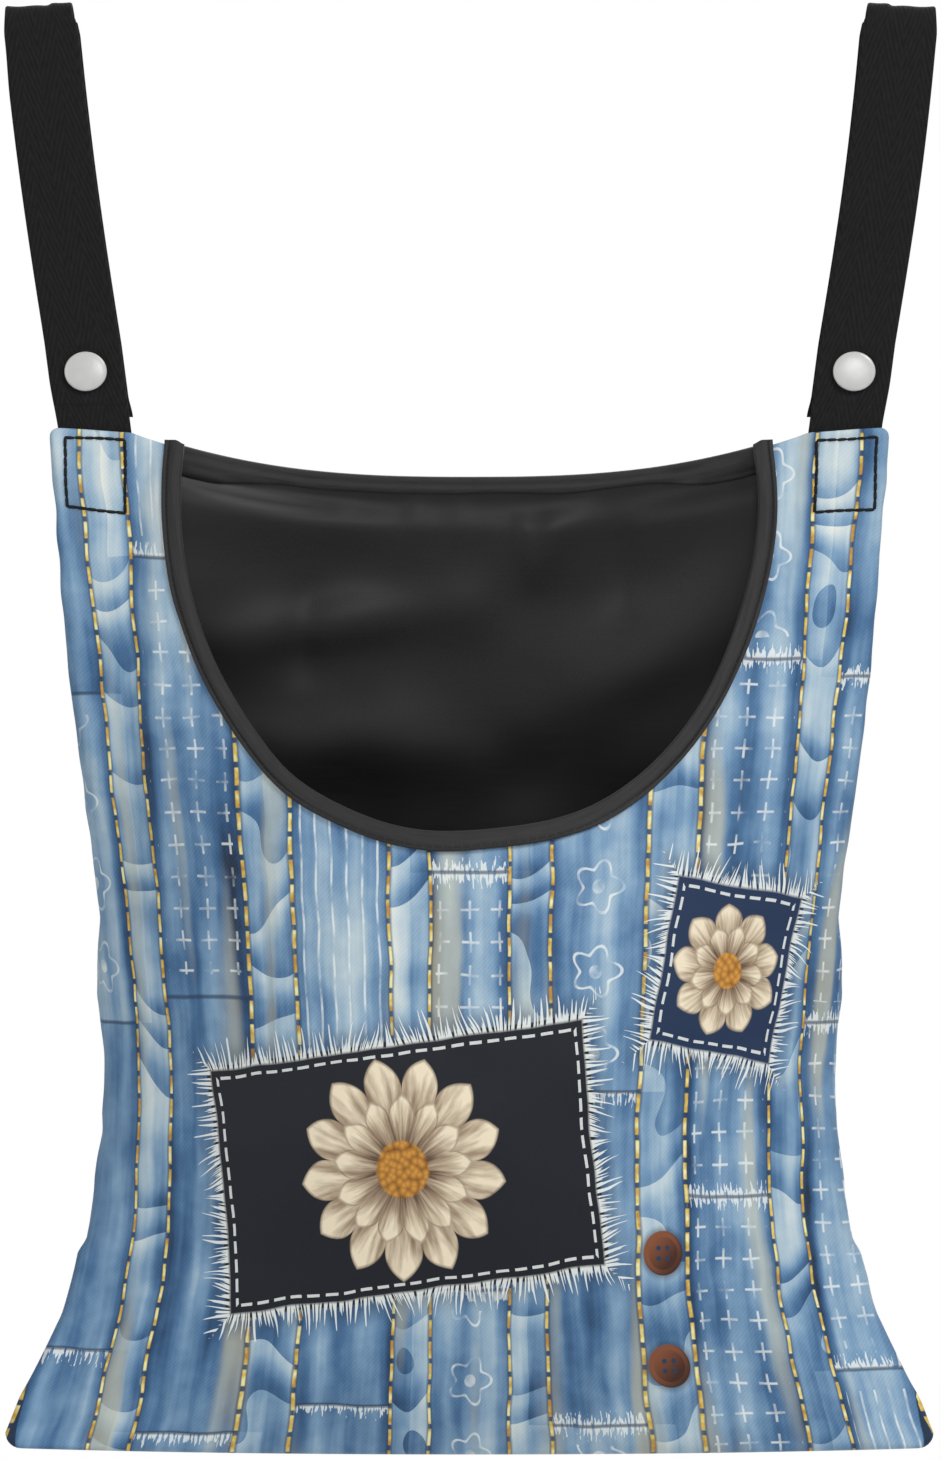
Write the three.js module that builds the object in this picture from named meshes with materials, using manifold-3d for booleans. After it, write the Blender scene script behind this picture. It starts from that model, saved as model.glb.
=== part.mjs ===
// Peg bag that hangs on a clothes line by two snap straps.
// Millimetres, +Z up, front towards -Y. The origin is on the line, midway between the two loops.

import * as THREE from "three";
import { mergeVertices } from "three/addons/utils/BufferGeometryUtils.js";
import Module from "manifold-3d";

const wasm = await Module();
wasm.setup();

// Bag outline, seen from the front
const bagHeight = 337;
const topWidth = 278;
const bottomWidth = 311;
const waistDrawIn = 28; // how far each side is drawn in by the belly
const waistSkew = 1.6; // above 1 puts the waist below the middle
const cornerRadius = 4;
const bottomBow = 1.5; // the bottom seam hangs lower in the middle
const scoopDepth = 15.5; // dip of the back's top edge between the straps
const scoopFlatness = 2.6;
const tabWidth = 37.6; // front corner between the side seam and the mouth

// Bag depth, front to back
const frontBelly = 52;
const backBelly = 36;
const bellySag = 1.2; // above 1 puts the fullest place below the middle
const bellyFullness = 0.8; // below 1 swells the bag out close to its seams
const frontGape = { rise: 4, run: 30, fade: 3 }; // the mouth's upper ends stand off the back
const backBow = { rise: 8, run: 60, fade: 2 }; // the back's top edge bows away from the mouth

// Cloth
const panelThickness = 0.7;
const liningThickness = 0.5;
const layerGap = 0.3;
const seamRoll = 2; // width over which a panel turns in to its seam

// Mouth: a U cut in the front, bound with folded tape
const mouthStraight = 22; // depth of the straight sides
const mouthDrop = 111; // depth of the round bottom below them
const bindingWidth = 6.4;
const bindingThickness = 0.9;
const bindingClearance = 0.6; // the cloth lies loose in the fold
const hemTuck = 4; // the back's hem runs on behind the mouth's sides

// Strap tape
const tapeWidth = 25;
const tapeThickness = 1.4;
const strapFromSide = 2.1; // tape edge to side seam at the bag's top edge
const strapLean = THREE.MathUtils.degToRad(7.45); // tops lean outwards
const bagDrop = 134.4; // from the line down to the bag's top corners
const loopRadius = 5.5; // inside the fold that lies over the line
const tailEndGap = 5.6; // from the tail's end down to the bag's top edge
const sewnLength = 25; // tape held between the panels
const foldLift = 1.6; // the tape folds this far above the bag's edge
const foldGap = 0.4; // between the fold and the tail that opens from it
const legClearance = 0.3;

// Box stitch that holds each strap
const stitchWidth = 20;
const stitchHeight = 23.7;
const stitchTop = 2;
const threadRadius = 0.4;

// Snap: a cap and socket on the front leg, a stud and cap on the tail
const snapHeight = 20.3; // above the bag's top edge
const capDiameter = 14;
const capDome = 1.8;
const capEdge = 0.7;
const postDiameter = 3.4;
const postHeadLip = 0.4;
const postHeadHeight = 0.4;
const snapClearance = 0.3;
const socketDiameter = 10.5;
const socketHeight = 3.2;
const socketFloor = 0.6;
const studFlangeHeight = 0.8;
const studKnobWall = 0.45;

// Facets
const innerColumns = 7;
const middleRows = 16;
const mouthSteps = 44;
const mouthSideSteps = 2;
const hemSteps = 24;
const foldedEdgeSteps = 4;
const stitchSteps = 4;
const threadSides = 6;
const domeSteps = 5;
const foldSteps = 11; // odd, so that a flat lies on top of the line
const legSteps = 10;
const roundSteps = 20;
const mergeTolerance = 1e-4;

const printedCloth = { color: 0x6f94b8, roughness: 0.75, metalness: 0 };
const liningCloth = { color: 0x2b2b2c, roughness: 0.6, metalness: 0 };
const bindingTape = { color: 0x333132, roughness: 0.8, metalness: 0 };
const strapTape = { color: 0x202021, roughness: 0.85, metalness: 0 };
const sewingThread = { color: 0x151515, roughness: 0.7, metalness: 0 };
const snapPlastic = { color: 0xececec, roughness: 0.25, metalness: 0 };

const pegBag = new THREE.Group();

function addMesh(parent, name, geometry, look) {
  const mesh = new THREE.Mesh(geometry, new THREE.MeshStandardMaterial(look));
  mesh.name = name;
  parent.add(mesh);
  return mesh;
}

// A closed geometry with one vertex per corner, no flat triangles and its faces out
function closeUp(geometry) {
  const bare = new THREE.BufferGeometry();
  bare.setAttribute("position", geometry.getAttribute("position").clone());
  bare.setIndex(geometry.getIndex());
  const merged = mergeVertices(bare, mergeTolerance);
  const source = merged.getIndex().array;
  const corner = [new THREE.Vector3(), new THREE.Vector3(), new THREE.Vector3()];
  const position = merged.getAttribute("position");
  const triangles = [];
  let volume = 0;
  for (let i = 0; i < source.length; i += 3) {
    const [a, b, c] = source.slice(i, i + 3);
    if (a === b || b === c || c === a) continue;
    triangles.push([a, b, c]);
    corner[0].fromBufferAttribute(position, a);
    corner[1].fromBufferAttribute(position, b);
    corner[2].fromBufferAttribute(position, c);
    volume += corner[0].dot(corner[1].cross(corner[2])) / 6;
  }
  const facing = volume < 0 ? triangles.map(([a, b, c]) => [a, c, b]) : triangles;
  merged.setIndex(facing.flat());
  merged.computeVertexNormals();
  return merged;
}

function solidOf(geometry) {
  const closed = closeUp(geometry);
  const vertProperties = new Float32Array(closed.getAttribute("position").array);
  const triVerts = new Uint32Array(closed.getIndex().array);
  return new wasm.Manifold(new wasm.Mesh({ numProp: 3, vertProperties, triVerts }));
}

function cutAway(geometry, ...tools) {
  const solid = tools.reduce((rest, tool) => rest.subtract(solidOf(tool)), solidOf(geometry));
  const { vertProperties, triVerts } = solid.getMesh();
  const result = new THREE.BufferGeometry();
  result.setAttribute("position", new THREE.BufferAttribute(new Float32Array(vertProperties), 3));
  result.setIndex(new THREE.BufferAttribute(new Uint32Array(triVerts), 1));
  result.computeVertexNormals();
  return result;
}

// A body through a row of like sections. The caps follow one section's anticlockwise outline.
function sweepSections(sections, outline, closedLoop = false) {
  const count = sections[0].length;
  const rows = closedLoop ? sections.length : sections.length - 1;
  const index = [];
  for (let row = 0; row < rows; row++) {
    const here = row * count;
    const next = ((row + 1) % sections.length) * count;
    for (let j = 0; j < count; j++) {
      const k = (j + 1) % count;
      index.push(here + j, here + k, next + k, here + j, next + k, next + j);
    }
  }
  if (!closedLoop) {
    const last = (sections.length - 1) * count;
    for (const [a, b, c] of THREE.ShapeUtils.triangulateShape(outline, [])) {
      index.push(a, c, b, last + a, last + b, last + c);
    }
  }
  const geometry = new THREE.BufferGeometry().setFromPoints(sections.flat());
  geometry.setIndex(index);
  return closeUp(geometry);
}

// Places across the bag's top edge, from the middle
const tapeHalfAcross = tapeWidth / 2 / Math.cos(strapLean);
const strapMiddle = topWidth / 2 - strapFromSide - tapeHalfAcross;
const scoopHalf = strapMiddle - tapeHalfAcross;
const mouthEdge = topWidth / 2 - tabWidth; // outer edge of the binding
const mouthHalf = mouthEdge - bindingWidth; // clear of the binding

const clampUnit = (value) => THREE.MathUtils.clamp(value, 0, 1);
const depthToZ = (depth) => -bagDrop - depth;

// Outline of both panels, by depth below the top corners
function halfWidthAt(depth) {
  const down = clampUnit(depth / bagHeight);
  const straight = THREE.MathUtils.lerp(topWidth, bottomWidth, down) / 2;
  const drawnIn = waistDrawIn * Math.sin(Math.PI * down ** waistSkew);
  const intoCorner = Math.max(0, cornerRadius - (bagHeight - depth));
  const rounded = cornerRadius - Math.sqrt(Math.max(0, cornerRadius ** 2 - intoCorner ** 2));
  return straight - drawnIn - rounded;
}

function topEdgeDepth(x) {
  return scoopDepth * Math.max(0, 1 - (Math.abs(x) / scoopHalf) ** scoopFlatness);
}

const cornerHalfStack = tapeThickness / 2 + 2 * layerGap + liningThickness + panelThickness;
const seamHalfStack = layerGap / 2 + panelThickness;
const stitchedDepth = stitchTop + stitchHeight + 2 * threadRadius;
const stitchedFromSeam = topWidth / 2 - strapMiddle + stitchWidth / 2 + seamRoll;

// The box stitch holds both corners flat, so the belly starts below it there
function heldDepth(x) {
  const heldFrom = halfWidthAt(stitchedDepth) - stitchedFromSeam;
  return stitchedDepth * THREE.MathUtils.smoothstep(Math.abs(x), mouthEdge, heldFrom);
}

// How far a panel's outer face stands from the seam plane
function standOff(x, z, belly, mouthLift) {
  const depth = -bagDrop - z;
  const edge = topEdgeDepth(x);
  const bellyTop = edge + heldDepth(x);
  const down = clampUnit((depth - edge) / (bagHeight - edge));
  const bellyDown = clampUnit((depth - bellyTop) / (bagHeight - bellyTop));
  const halfWidth = halfWidthAt(depth);
  const across = clampUnit(Math.abs(x) / halfWidth);
  const toBottom = bagHeight - bottomBow * across ** 2 - depth;
  const toSeam = Math.max(0, Math.min(halfWidth - Math.abs(x), toBottom));
  const roll = Math.min(1, toSeam / seamRoll);
  const stack = THREE.MathUtils.lerp(seamHalfStack, cornerHalfStack, roll);
  const arch = Math.cos((Math.PI / 2) * across) * Math.sin(Math.PI * bellyDown ** bellySag);
  const bulge = belly * Math.max(0, arch) ** bellyFullness;
  const open = THREE.MathUtils.smoothstep(scoopHalf - Math.abs(x), 0, mouthLift.run);
  return stack + bulge + mouthLift.rise * open * (1 - down) ** mouthLift.fade;
}

// Each wall gives the Y of a place that lies "into" the bag from its outer face
const frontWall = (x, z, into) => into - standOff(x, z, frontBelly, frontGape);
const backWall = (x, z, into) => standOff(x, z, backBelly, backBow) - into;

// Even distances from a start up to a seam, then closer together beside it
function seamSpaced(start, seam, seamSteps, evenSteps) {
  const even = Array.from({ length: evenSteps }, (_, i) =>
    THREE.MathUtils.lerp(start, seam - seamSteps[0], i / evenSteps),
  );
  return [...even, ...seamSteps.map((step) => seam - step)];
}

// A sheet of cloth between two depths into the bag, with its seam edges drawn in by an inset
function clothSheet(wall, near, far, inset) {
  const insetSteps = (steps) => {
    const shortened = steps.map((step) => Math.max(step - inset, 0));
    return [...new Set(shortened)].sort((a, b) => b - a);
  };
  const sideSteps = insetSteps([tabWidth, stitchedFromSeam, 4 * seamRoll, seamRoll, 0]);
  const bottomSteps = insetSteps([6 * seamRoll, 4 * seamRoll, cornerRadius, seamRoll, seamRoll / 3, 0]);
  const below = seamSpaced(stitchedDepth, bagHeight - inset, bottomSteps, middleRows);
  const depths = [0, stitchedDepth / 2, ...below];
  const rows = depths.map((depth) => {
    const half = halfWidthAt(depth);
    const right = seamSpaced(0, half - inset, sideSteps, innerColumns);
    const left = right.slice(1).reverse();
    return [...left.map((x) => -x), ...right].map((x) => {
      const scooped = depth + topEdgeDepth(x) * (1 - depth / bagHeight);
      const bow = (bottomBow * (x / half) ** 2 * depth) / bagHeight;
      const z = depthToZ(scooped - bow);
      return [new THREE.Vector3(x, wall(x, z, near), z), new THREE.Vector3(x, wall(x, z, far), z)];
    });
  });
  const columns = rows[0].length;
  const points = rows.flat().flat();
  const at = (row, column, skin) => 2 * (row * columns + column) + skin;
  const index = [];
  const quad = (a, b, c, d) => index.push(a, b, c, a, c, d);
  for (let r = 0; r + 1 < rows.length; r++) {
    for (let c = 0; c + 1 < columns; c++) {
      quad(at(r, c, 0), at(r + 1, c, 0), at(r + 1, c + 1, 0), at(r, c + 1, 0));
      quad(at(r, c, 1), at(r, c + 1, 1), at(r + 1, c + 1, 1), at(r + 1, c, 1));
    }
    quad(at(r, 0, 0), at(r, 0, 1), at(r + 1, 0, 1), at(r + 1, 0, 0));
    const end = columns - 1;
    quad(at(r, end, 0), at(r + 1, end, 0), at(r + 1, end, 1), at(r, end, 1));
  }
  const bottom = rows.length - 1;
  for (let c = 0; c + 1 < columns; c++) {
    quad(at(0, c, 0), at(0, c + 1, 0), at(0, c + 1, 1), at(0, c, 1));
    quad(at(bottom, c, 0), at(bottom, c, 1), at(bottom, c + 1, 1), at(bottom, c + 1, 0));
  }
  const geometry = new THREE.BufferGeometry().setFromPoints(points);
  geometry.setIndex(index);
  return closeUp(geometry);
}

// Mouth: the raw edge of the U lies inside the fold of its binding
const rawEdgeInset = bindingThickness + bindingClearance;
const rawMouthHalf = mouthHalf + rawEdgeInset;
const rawMouthDrop = mouthDrop + rawEdgeInset;

function mouthCutter() {
  const above = scoopDepth;
  const through = 4 * frontBelly;
  const outline = new THREE.Shape();
  outline.moveTo(-rawMouthHalf, above);
  outline.lineTo(-rawMouthHalf, -mouthStraight);
  outline.absellipse(0, -mouthStraight, rawMouthHalf, rawMouthDrop, Math.PI, 2 * Math.PI, false);
  outline.lineTo(rawMouthHalf, above);
  const cutter = new THREE.ExtrudeGeometry(outline, {
    depth: through,
    bevelEnabled: false,
    curveSegments: mouthSteps,
  });
  cutter.rotateX(Math.PI / 2);
  cutter.translate(0, through / 2, -bagDrop);
  return cutter;
}

// Folded tape around a cloth edge: x runs from the edge into the cloth, y into the bag
function foldedTapeSection() {
  const reach = bindingWidth - rawEdgeInset;
  const near = -bindingClearance;
  const far = panelThickness + layerGap + liningThickness + bindingClearance;
  const middle = (near + far) / 2;
  const fold = new THREE.EllipseCurve(
    -bindingClearance,
    middle,
    bindingThickness,
    middle - near + bindingThickness,
    0.5 * Math.PI,
    1.5 * Math.PI,
  );
  return [
    new THREE.Vector2(-bindingClearance, near),
    new THREE.Vector2(-bindingClearance, far),
    new THREE.Vector2(reach, far),
    new THREE.Vector2(reach, far + bindingThickness),
    ...fold.getPoints(foldedEdgeSteps),
    new THREE.Vector2(reach, near - bindingThickness),
    new THREE.Vector2(reach, near),
  ];
}

// Folded tape along a route of edge points, each with the direction into the cloth
function foldedTape(wall, route) {
  const outline = foldedTapeSection();
  const sections = route.map(({ edge, inward }) =>
    outline.map((corner) => {
      const x = edge.x + inward.x * corner.x;
      const z = edge.y + inward.y * corner.x;
      return new THREE.Vector3(x, wall(x, z, corner.y), z);
    }),
  );
  return sweepSections(sections, outline);
}

function mouthRoute() {
  const topZ = depthToZ(topEdgeDepth(rawMouthHalf));
  const bendZ = depthToZ(mouthStraight);
  const side = (sign) =>
    Array.from({ length: mouthSideSteps }, (_, i) => ({
      edge: new THREE.Vector2(
        sign * rawMouthHalf,
        THREE.MathUtils.lerp(topZ, bendZ, i / mouthSideSteps),
      ),
      inward: new THREE.Vector2(sign, 0),
    }));
  const round = Array.from({ length: mouthSteps + 1 }, (_, i) => {
    const turn = Math.PI * (1 + i / mouthSteps);
    const c = Math.cos(turn);
    const s = Math.sin(turn);
    return {
      edge: new THREE.Vector2(rawMouthHalf * c, bendZ + rawMouthDrop * s),
      inward: new THREE.Vector2(c / rawMouthHalf, s / rawMouthDrop).normalize(),
    };
  });
  return [...side(-1), ...round, ...side(1).reverse()];
}

function hemRoute() {
  return Array.from({ length: hemSteps + 1 }, (_, i) => {
    const x = 2 * (mouthHalf + hemTuck) * (i / hemSteps - 0.5);
    return {
      edge: new THREE.Vector2(x, depthToZ(topEdgeDepth(x))),
      inward: new THREE.Vector2(0, -1),
    };
  });
}

// One thread line around a box, lying on the front panel
function boxStitch(middleX) {
  const halfWidth = stitchWidth / 2;
  const halfHeight = stitchHeight / 2;
  const middleZ = depthToZ(stitchTop + halfHeight);
  const corners = [
    new THREE.Vector2(-1, 1),
    new THREE.Vector2(-1, -1),
    new THREE.Vector2(1, -1),
    new THREE.Vector2(1, 1),
  ];
  const sections = corners.flatMap((corner, i) => {
    const next = corners[(i + 1) % corners.length];
    const outward = corner.clone().add(next).multiplyScalar(0.5);
    return Array.from({ length: stitchSteps }, (_, step) => {
      const place = corner.clone().lerp(next, step / stitchSteps);
      const mitre = step === 0 ? corner : outward;
      return Array.from({ length: threadSides }, (_, side) => {
        const turn = (side / threadSides) * 2 * Math.PI;
        const reach = threadRadius * Math.cos(turn);
        const x = middleX + place.x * halfWidth + mitre.x * reach;
        const z = middleZ + place.y * halfHeight + mitre.y * reach;
        const into = threadRadius * Math.sin(turn) - threadRadius - layerGap;
        return new THREE.Vector3(x, frontWall(x, z, into), z);
      });
    });
  });
  return sweepSections(sections, [], true);
}

// A tape with a bent side view, given as (y, z) points along its middle, that leans sideways as it rises
function leaningTape(middleLine, lean) {
  const half = tapeThickness / 2;
  const left = [];
  const right = [];
  middleLine.forEach((point, i) => {
    const before = middleLine[Math.max(i - 1, 0)];
    const after = middleLine[Math.min(i + 1, middleLine.length - 1)];
    const along = after.clone().sub(before).normalize();
    const across = new THREE.Vector2(-along.y, along.x).multiplyScalar(half);
    left.push(point.clone().add(across));
    right.push(point.clone().sub(across));
  });
  const tape = extrudeAcross(new THREE.Shape([...left, ...right.reverse()]));
  return tape.applyMatrix4(new THREE.Matrix4().makeShear(0, 0, 0, 0, Math.tan(lean), 0));
}

// Turns an outline drawn in (y, z) into a body as wide as the tape, centred on X
function extrudeAcross(outline) {
  const width = 2 * tapeHalfAcross;
  const body = new THREE.ExtrudeGeometry(outline, { depth: width, bevelEnabled: false });
  const axes = [new THREE.Vector3(0, 1, 0), new THREE.Vector3(0, 0, 1), new THREE.Vector3(1, 0, 0)];
  body.applyMatrix4(new THREE.Matrix4().makeBasis(...axes));
  body.translate(-width / 2, 0, 0);
  return closeUp(body);
}

// Strap heights, from the fold line at the bag's edge
const foldZ = -bagDrop + foldLift;
const loopHeight = -foldZ;
const legBottom = tapeThickness / 2 + legClearance;
const snapAt = snapHeight - foldLift;
const tailBottom = tailEndGap - foldLift;
const loopMiddle = loopRadius + tapeThickness / 2;
const legStraight = snapAt + capDiameter / 2;

// Snap places, from the middle of the front leg towards the back
const legFace = tapeThickness / 2;
const socketBase = legFace + snapClearance;
const socketRim = socketBase + socketHeight;
const socketHead = socketBase + socketFloor + snapClearance; // where the front cap's post is flattened
const studTip = socketHead + postHeadHeight + snapClearance;
const studHead = studTip + snapClearance + postHeadHeight; // where the rear cap's post is flattened
const studFace = socketRim + snapClearance;
const studBase = studFace + studFlangeHeight;
const tailAtSnap = studBase + snapClearance + legFace;
const postHole = postDiameter / 2 + snapClearance;
const postHead = postDiameter / 2 + postHeadLip;
const studRecess = postHead + snapClearance;
const studKnob = studRecess + studKnobWall;

const snapAside = (lean) => Math.tan(lean) * snapAt;

function snapHole(lean, y) {
  const hole = new THREE.CylinderGeometry(postHole, postHole, 4 * tapeThickness, roundSteps);
  hole.translate(snapAside(lean), y, snapAt);
  return hole;
}

// The tape's middle from above the snap up to the fold, in a soft S from one y to the other
function risingTape(fromY, toY, top) {
  return Array.from({ length: legSteps + 1 }, (_, i) => {
    const part = i / legSteps;
    const y = THREE.MathUtils.lerp(fromY, toY, THREE.MathUtils.smoothstep(part, 0, 1));
    return new THREE.Vector2(y, THREE.MathUtils.lerp(legStraight, top, part));
  });
}

// The front leg rises from the bag, parts from the tail above the snap and folds over the line
function strapLeg(lean) {
  const over = new THREE.EllipseCurve(0, loopHeight, loopMiddle, loopMiddle, Math.PI, 0, true);
  const rise = risingTape(0, -loopMiddle, loopHeight).slice(0, -1);
  const foot = new THREE.Vector2(0, legBottom);
  const leg = leaningTape([foot, ...rise, ...over.getPoints(foldSteps)], lean);
  return cutAway(leg, snapHole(lean, 0));
}

function strapTail(lean) {
  const end = new THREE.Vector2(tailAtSnap, tailBottom);
  const rise = risingTape(tailAtSnap, loopMiddle, loopHeight - foldGap);
  return cutAway(leaningTape([end, ...rise], lean), snapHole(lean, tailAtSnap));
}

// The sewn end of the tape, with its top rounded about the fold line
function sewnEnd() {
  const half = tapeThickness / 2;
  const outline = new THREE.Shape();
  outline.moveTo(-half, -sewnLength);
  outline.lineTo(half, -sewnLength);
  outline.lineTo(half, 0);
  outline.absarc(0, 0, half, 0, Math.PI, false);
  return extrudeAcross(outline);
}

// A round snap piece about Y, from (radius, y) points that run from axis to axis or close
function turned(profile) {
  const points = profile.map(([radius, y]) => new THREE.Vector2(radius, y));
  return closeUp(new THREE.LatheGeometry(points, roundSteps));
}

// A domed cap with its post, which is flattened into a head inside the socket or the stud
function snapCap(under, headFrom, facing) {
  const rim = capDiameter / 2;
  const dome = new THREE.EllipseCurve(0, capEdge, rim, capDome - capEdge, Math.PI / 2, 0, true);
  const domePoints = dome.getPoints(domeSteps).map((point) => [point.x, under - facing * point.y]);
  const headEnd = headFrom + facing * postHeadHeight;
  return turned([
    ...domePoints,
    [rim - capEdge, under],
    [postDiameter / 2, under],
    [postDiameter / 2, headFrom],
    [postHead, headFrom],
    [postHead, headEnd],
    [0, headEnd],
  ]);
}

function snapSocket() {
  const outer = socketDiameter / 2;
  const cavity = studKnob + snapClearance;
  const floor = socketBase + socketFloor;
  return turned([
    [postHole, socketBase],
    [outer, socketBase],
    [outer, socketRim - capEdge],
    [outer - capEdge, socketRim],
    [cavity, socketRim],
    [cavity, floor],
    [postHole, floor],
    [postHole, socketBase],
  ]);
}

function snapStud() {
  const flange = socketDiameter / 2;
  const recessFloor = studHead + snapClearance;
  return turned([
    [postHole, studBase],
    [flange, studBase],
    [flange, studFace],
    [studKnob, studFace],
    [studKnob, studTip],
    [studRecess, studTip],
    [studRecess, recessFloor],
    [postHole, recessFloor],
    [postHole, studBase],
  ]);
}

const liningNear = panelThickness + layerGap;
const liningFar = liningNear + liningThickness;
const mouth = mouthCutter();

addMesh(pegBag, "front_panel", cutAway(clothSheet(frontWall, 0, panelThickness, 0), mouth), printedCloth);
addMesh(pegBag, "back_panel", clothSheet(backWall, 0, panelThickness, 0), printedCloth);
const frontLining = clothSheet(frontWall, liningNear, liningFar, seamRoll);
addMesh(pegBag, "front_lining", cutAway(frontLining, mouth), liningCloth);
addMesh(pegBag, "back_lining", clothSheet(backWall, liningNear, liningFar, seamRoll), liningCloth);
addMesh(pegBag, "mouth_binding", foldedTape(frontWall, mouthRoute()), bindingTape);
addMesh(pegBag, "back_top_hem", foldedTape(backWall, hemRoute()), bindingTape);

for (const [side, sign] of [["left", -1], ["right", 1]]) {
  const lean = sign * strapLean;
  const strap = new THREE.Group();
  strap.position.set(sign * strapMiddle, 0, foldZ);
  pegBag.add(strap);
  addMesh(strap, `${side}_strap_sewn_end`, sewnEnd(), strapTape);
  addMesh(strap, `${side}_strap`, strapLeg(lean), strapTape);
  addMesh(strap, `${side}_strap_tail`, strapTail(lean), strapTape);
  addMesh(pegBag, `${side}_box_stitch`, boxStitch(sign * strapMiddle), sewingThread);

  const snap = new THREE.Group();
  snap.position.set(snapAside(lean), 0, snapAt);
  strap.add(snap);
  const tailFace = tailAtSnap + legFace + snapClearance;
  addMesh(snap, `${side}_snap_front_cap`, snapCap(-legFace - snapClearance, socketHead, 1), snapPlastic);
  addMesh(snap, `${side}_snap_socket`, snapSocket(), snapPlastic);
  addMesh(snap, `${side}_snap_stud`, snapStud(), snapPlastic);
  addMesh(snap, `${side}_snap_rear_cap`, snapCap(tailFace, studHead, -1), snapPlastic);
}

export default pegBag;
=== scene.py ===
import bmesh
import bpy
import math
import numpy as np
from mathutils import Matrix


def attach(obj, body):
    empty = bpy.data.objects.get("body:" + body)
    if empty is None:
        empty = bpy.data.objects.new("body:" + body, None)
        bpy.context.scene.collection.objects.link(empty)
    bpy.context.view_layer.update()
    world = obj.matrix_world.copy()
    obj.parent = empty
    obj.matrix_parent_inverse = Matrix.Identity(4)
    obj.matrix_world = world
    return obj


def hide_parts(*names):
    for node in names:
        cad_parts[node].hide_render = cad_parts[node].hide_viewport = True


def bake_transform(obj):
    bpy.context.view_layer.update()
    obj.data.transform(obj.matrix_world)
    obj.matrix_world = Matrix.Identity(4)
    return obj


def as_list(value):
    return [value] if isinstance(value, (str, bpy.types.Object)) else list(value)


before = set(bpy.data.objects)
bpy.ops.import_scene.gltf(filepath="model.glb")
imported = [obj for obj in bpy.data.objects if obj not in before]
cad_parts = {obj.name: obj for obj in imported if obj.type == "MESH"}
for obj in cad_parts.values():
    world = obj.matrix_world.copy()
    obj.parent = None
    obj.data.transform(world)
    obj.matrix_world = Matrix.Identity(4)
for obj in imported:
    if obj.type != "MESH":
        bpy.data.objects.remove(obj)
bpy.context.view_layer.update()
scene = bpy.context.scene
print("frame loaded,", len(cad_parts), "solids")

# everything below is worked out in millimetres, and turned to metres where a mesh is made
mm = 0.001

# the setting that the second word of a node's kind gives
optionOf = {
    "Math": "operation", "VectorMath": "operation", "Mix": "data_type", "MapRange": "interpolation_type",
    "TexNoise": "noise_dimensions", "TexWhiteNoise": "noise_dimensions", "TexVoronoi": "voronoi_dimensions",
}


def linear(hexText):  # sRGB hex to linear RGBA
    parts = [int(hexText[i:i + 2], 16) / 255 for i in (1, 3, 5)]
    return [p / 12.92 if p <= 0.04045 else ((p + 0.055) / 1.055) ** 2.4 for p in parts] + [1]


def startNodes(owner):  # empties a node tree and gives back the function that adds to it
    owner.use_nodes = True
    tree = owner.node_tree
    tree.nodes.clear()

    # adds one node with its settings, and its open inputs in order or by name;
    # a kind in capitals alone is an operation on plain numbers
    def add(kind, *values, out=None, **settings):
        kind, _, option = ("Math " + kind if kind.isupper() else kind).partition(" ")
        made = tree.nodes.new("ShaderNode" + kind)
        if option:
            settings[optionOf[kind]] = option
        for key, value in settings.items():
            setattr(made, key, value)
        sockets = [socket for socket in made.inputs if socket.enabled]
        if values and isinstance(values[0], dict):
            sockets, values = [made.inputs[key] for key in values[0]], values[0].values()
        for socket, value in zip(sockets, values):
            if isinstance(value, bpy.types.NodeSocket):
                tree.links.new(value, socket)
            else:
                socket.default_value = value
        return made.outputs[out] if out else next((socket for socket in made.outputs if socket.enabled), None)

    return add


def startMaterial(name):
    made = bpy.data.materials.new(name)
    return made, startNodes(made)


def ease(value, low, high):
    t = np.clip((value - low) / (high - low), 0, 1)
    return t * t * (3 - 2 * t)


def comeIn(value, size, low, high):  # a size that comes in between two places
    return size * ease(value, low, high)


def softNoise(u, v, cell, seed):  # smooth noise from -1 to 1, one bump in about two cells
    table = np.random.RandomState(seed).uniform(-1, 1, (64, 64))
    a, b = np.asarray(u, float) / cell, np.asarray(v, float) / cell
    i, j = np.floor(a).astype(int), np.floor(b).astype(int)
    f, g = ease(a - i, 0, 1), ease(b - j, 0, 1)
    low = table[i % 64, j % 64] * (1 - f) + table[(i + 1) % 64, j % 64] * f
    high = table[i % 64, (j + 1) % 64] * (1 - f) + table[(i + 1) % 64, (j + 1) % 64] * f
    return low * (1 - g) + high * g


def gridFaces(index):  # quads between the rows of a grid of point numbers
    return np.stack([index[:-1, :-1], index[1:, :-1], index[1:, 1:], index[:-1, 1:]], -1).reshape(-1, 4)


def runAlong(line):  # length from a line's start to each of its points
    return np.concatenate([[0], np.cumsum(np.linalg.norm(np.diff(line, axis=0), axis=1))])


def makePiece(name, points, faces, material, slot, flatMap=None, sharp=40):
    mesh = bpy.data.meshes.new(name)
    mesh.from_pydata((np.asarray(points) * mm).tolist(), [], [list(map(int, f)) for f in faces])
    work = bmesh.new()  # all faces turned outwards
    work.from_mesh(mesh)
    bmesh.ops.recalc_face_normals(work, faces=work.faces)
    work.to_mesh(mesh)
    work.free()
    mesh.validate()
    if flatMap is not None:  # the pattern's own map, in metres of flat cloth
        loops = np.zeros(len(mesh.loops), int)
        mesh.loops.foreach_get("vertex_index", loops)
        layer = mesh.uv_layers.new(name="clothMap")
        layer.data.foreach_set("uv", (np.asarray(flatMap)[loops] * mm).ravel())
    mesh.shade_smooth()
    mesh.set_sharp_from_angle(angle=math.radians(sharp))
    mesh.materials.append(material)
    piece = bpy.data.objects.new(name, mesh)
    scene.collection.objects.link(piece)
    return piece


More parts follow.
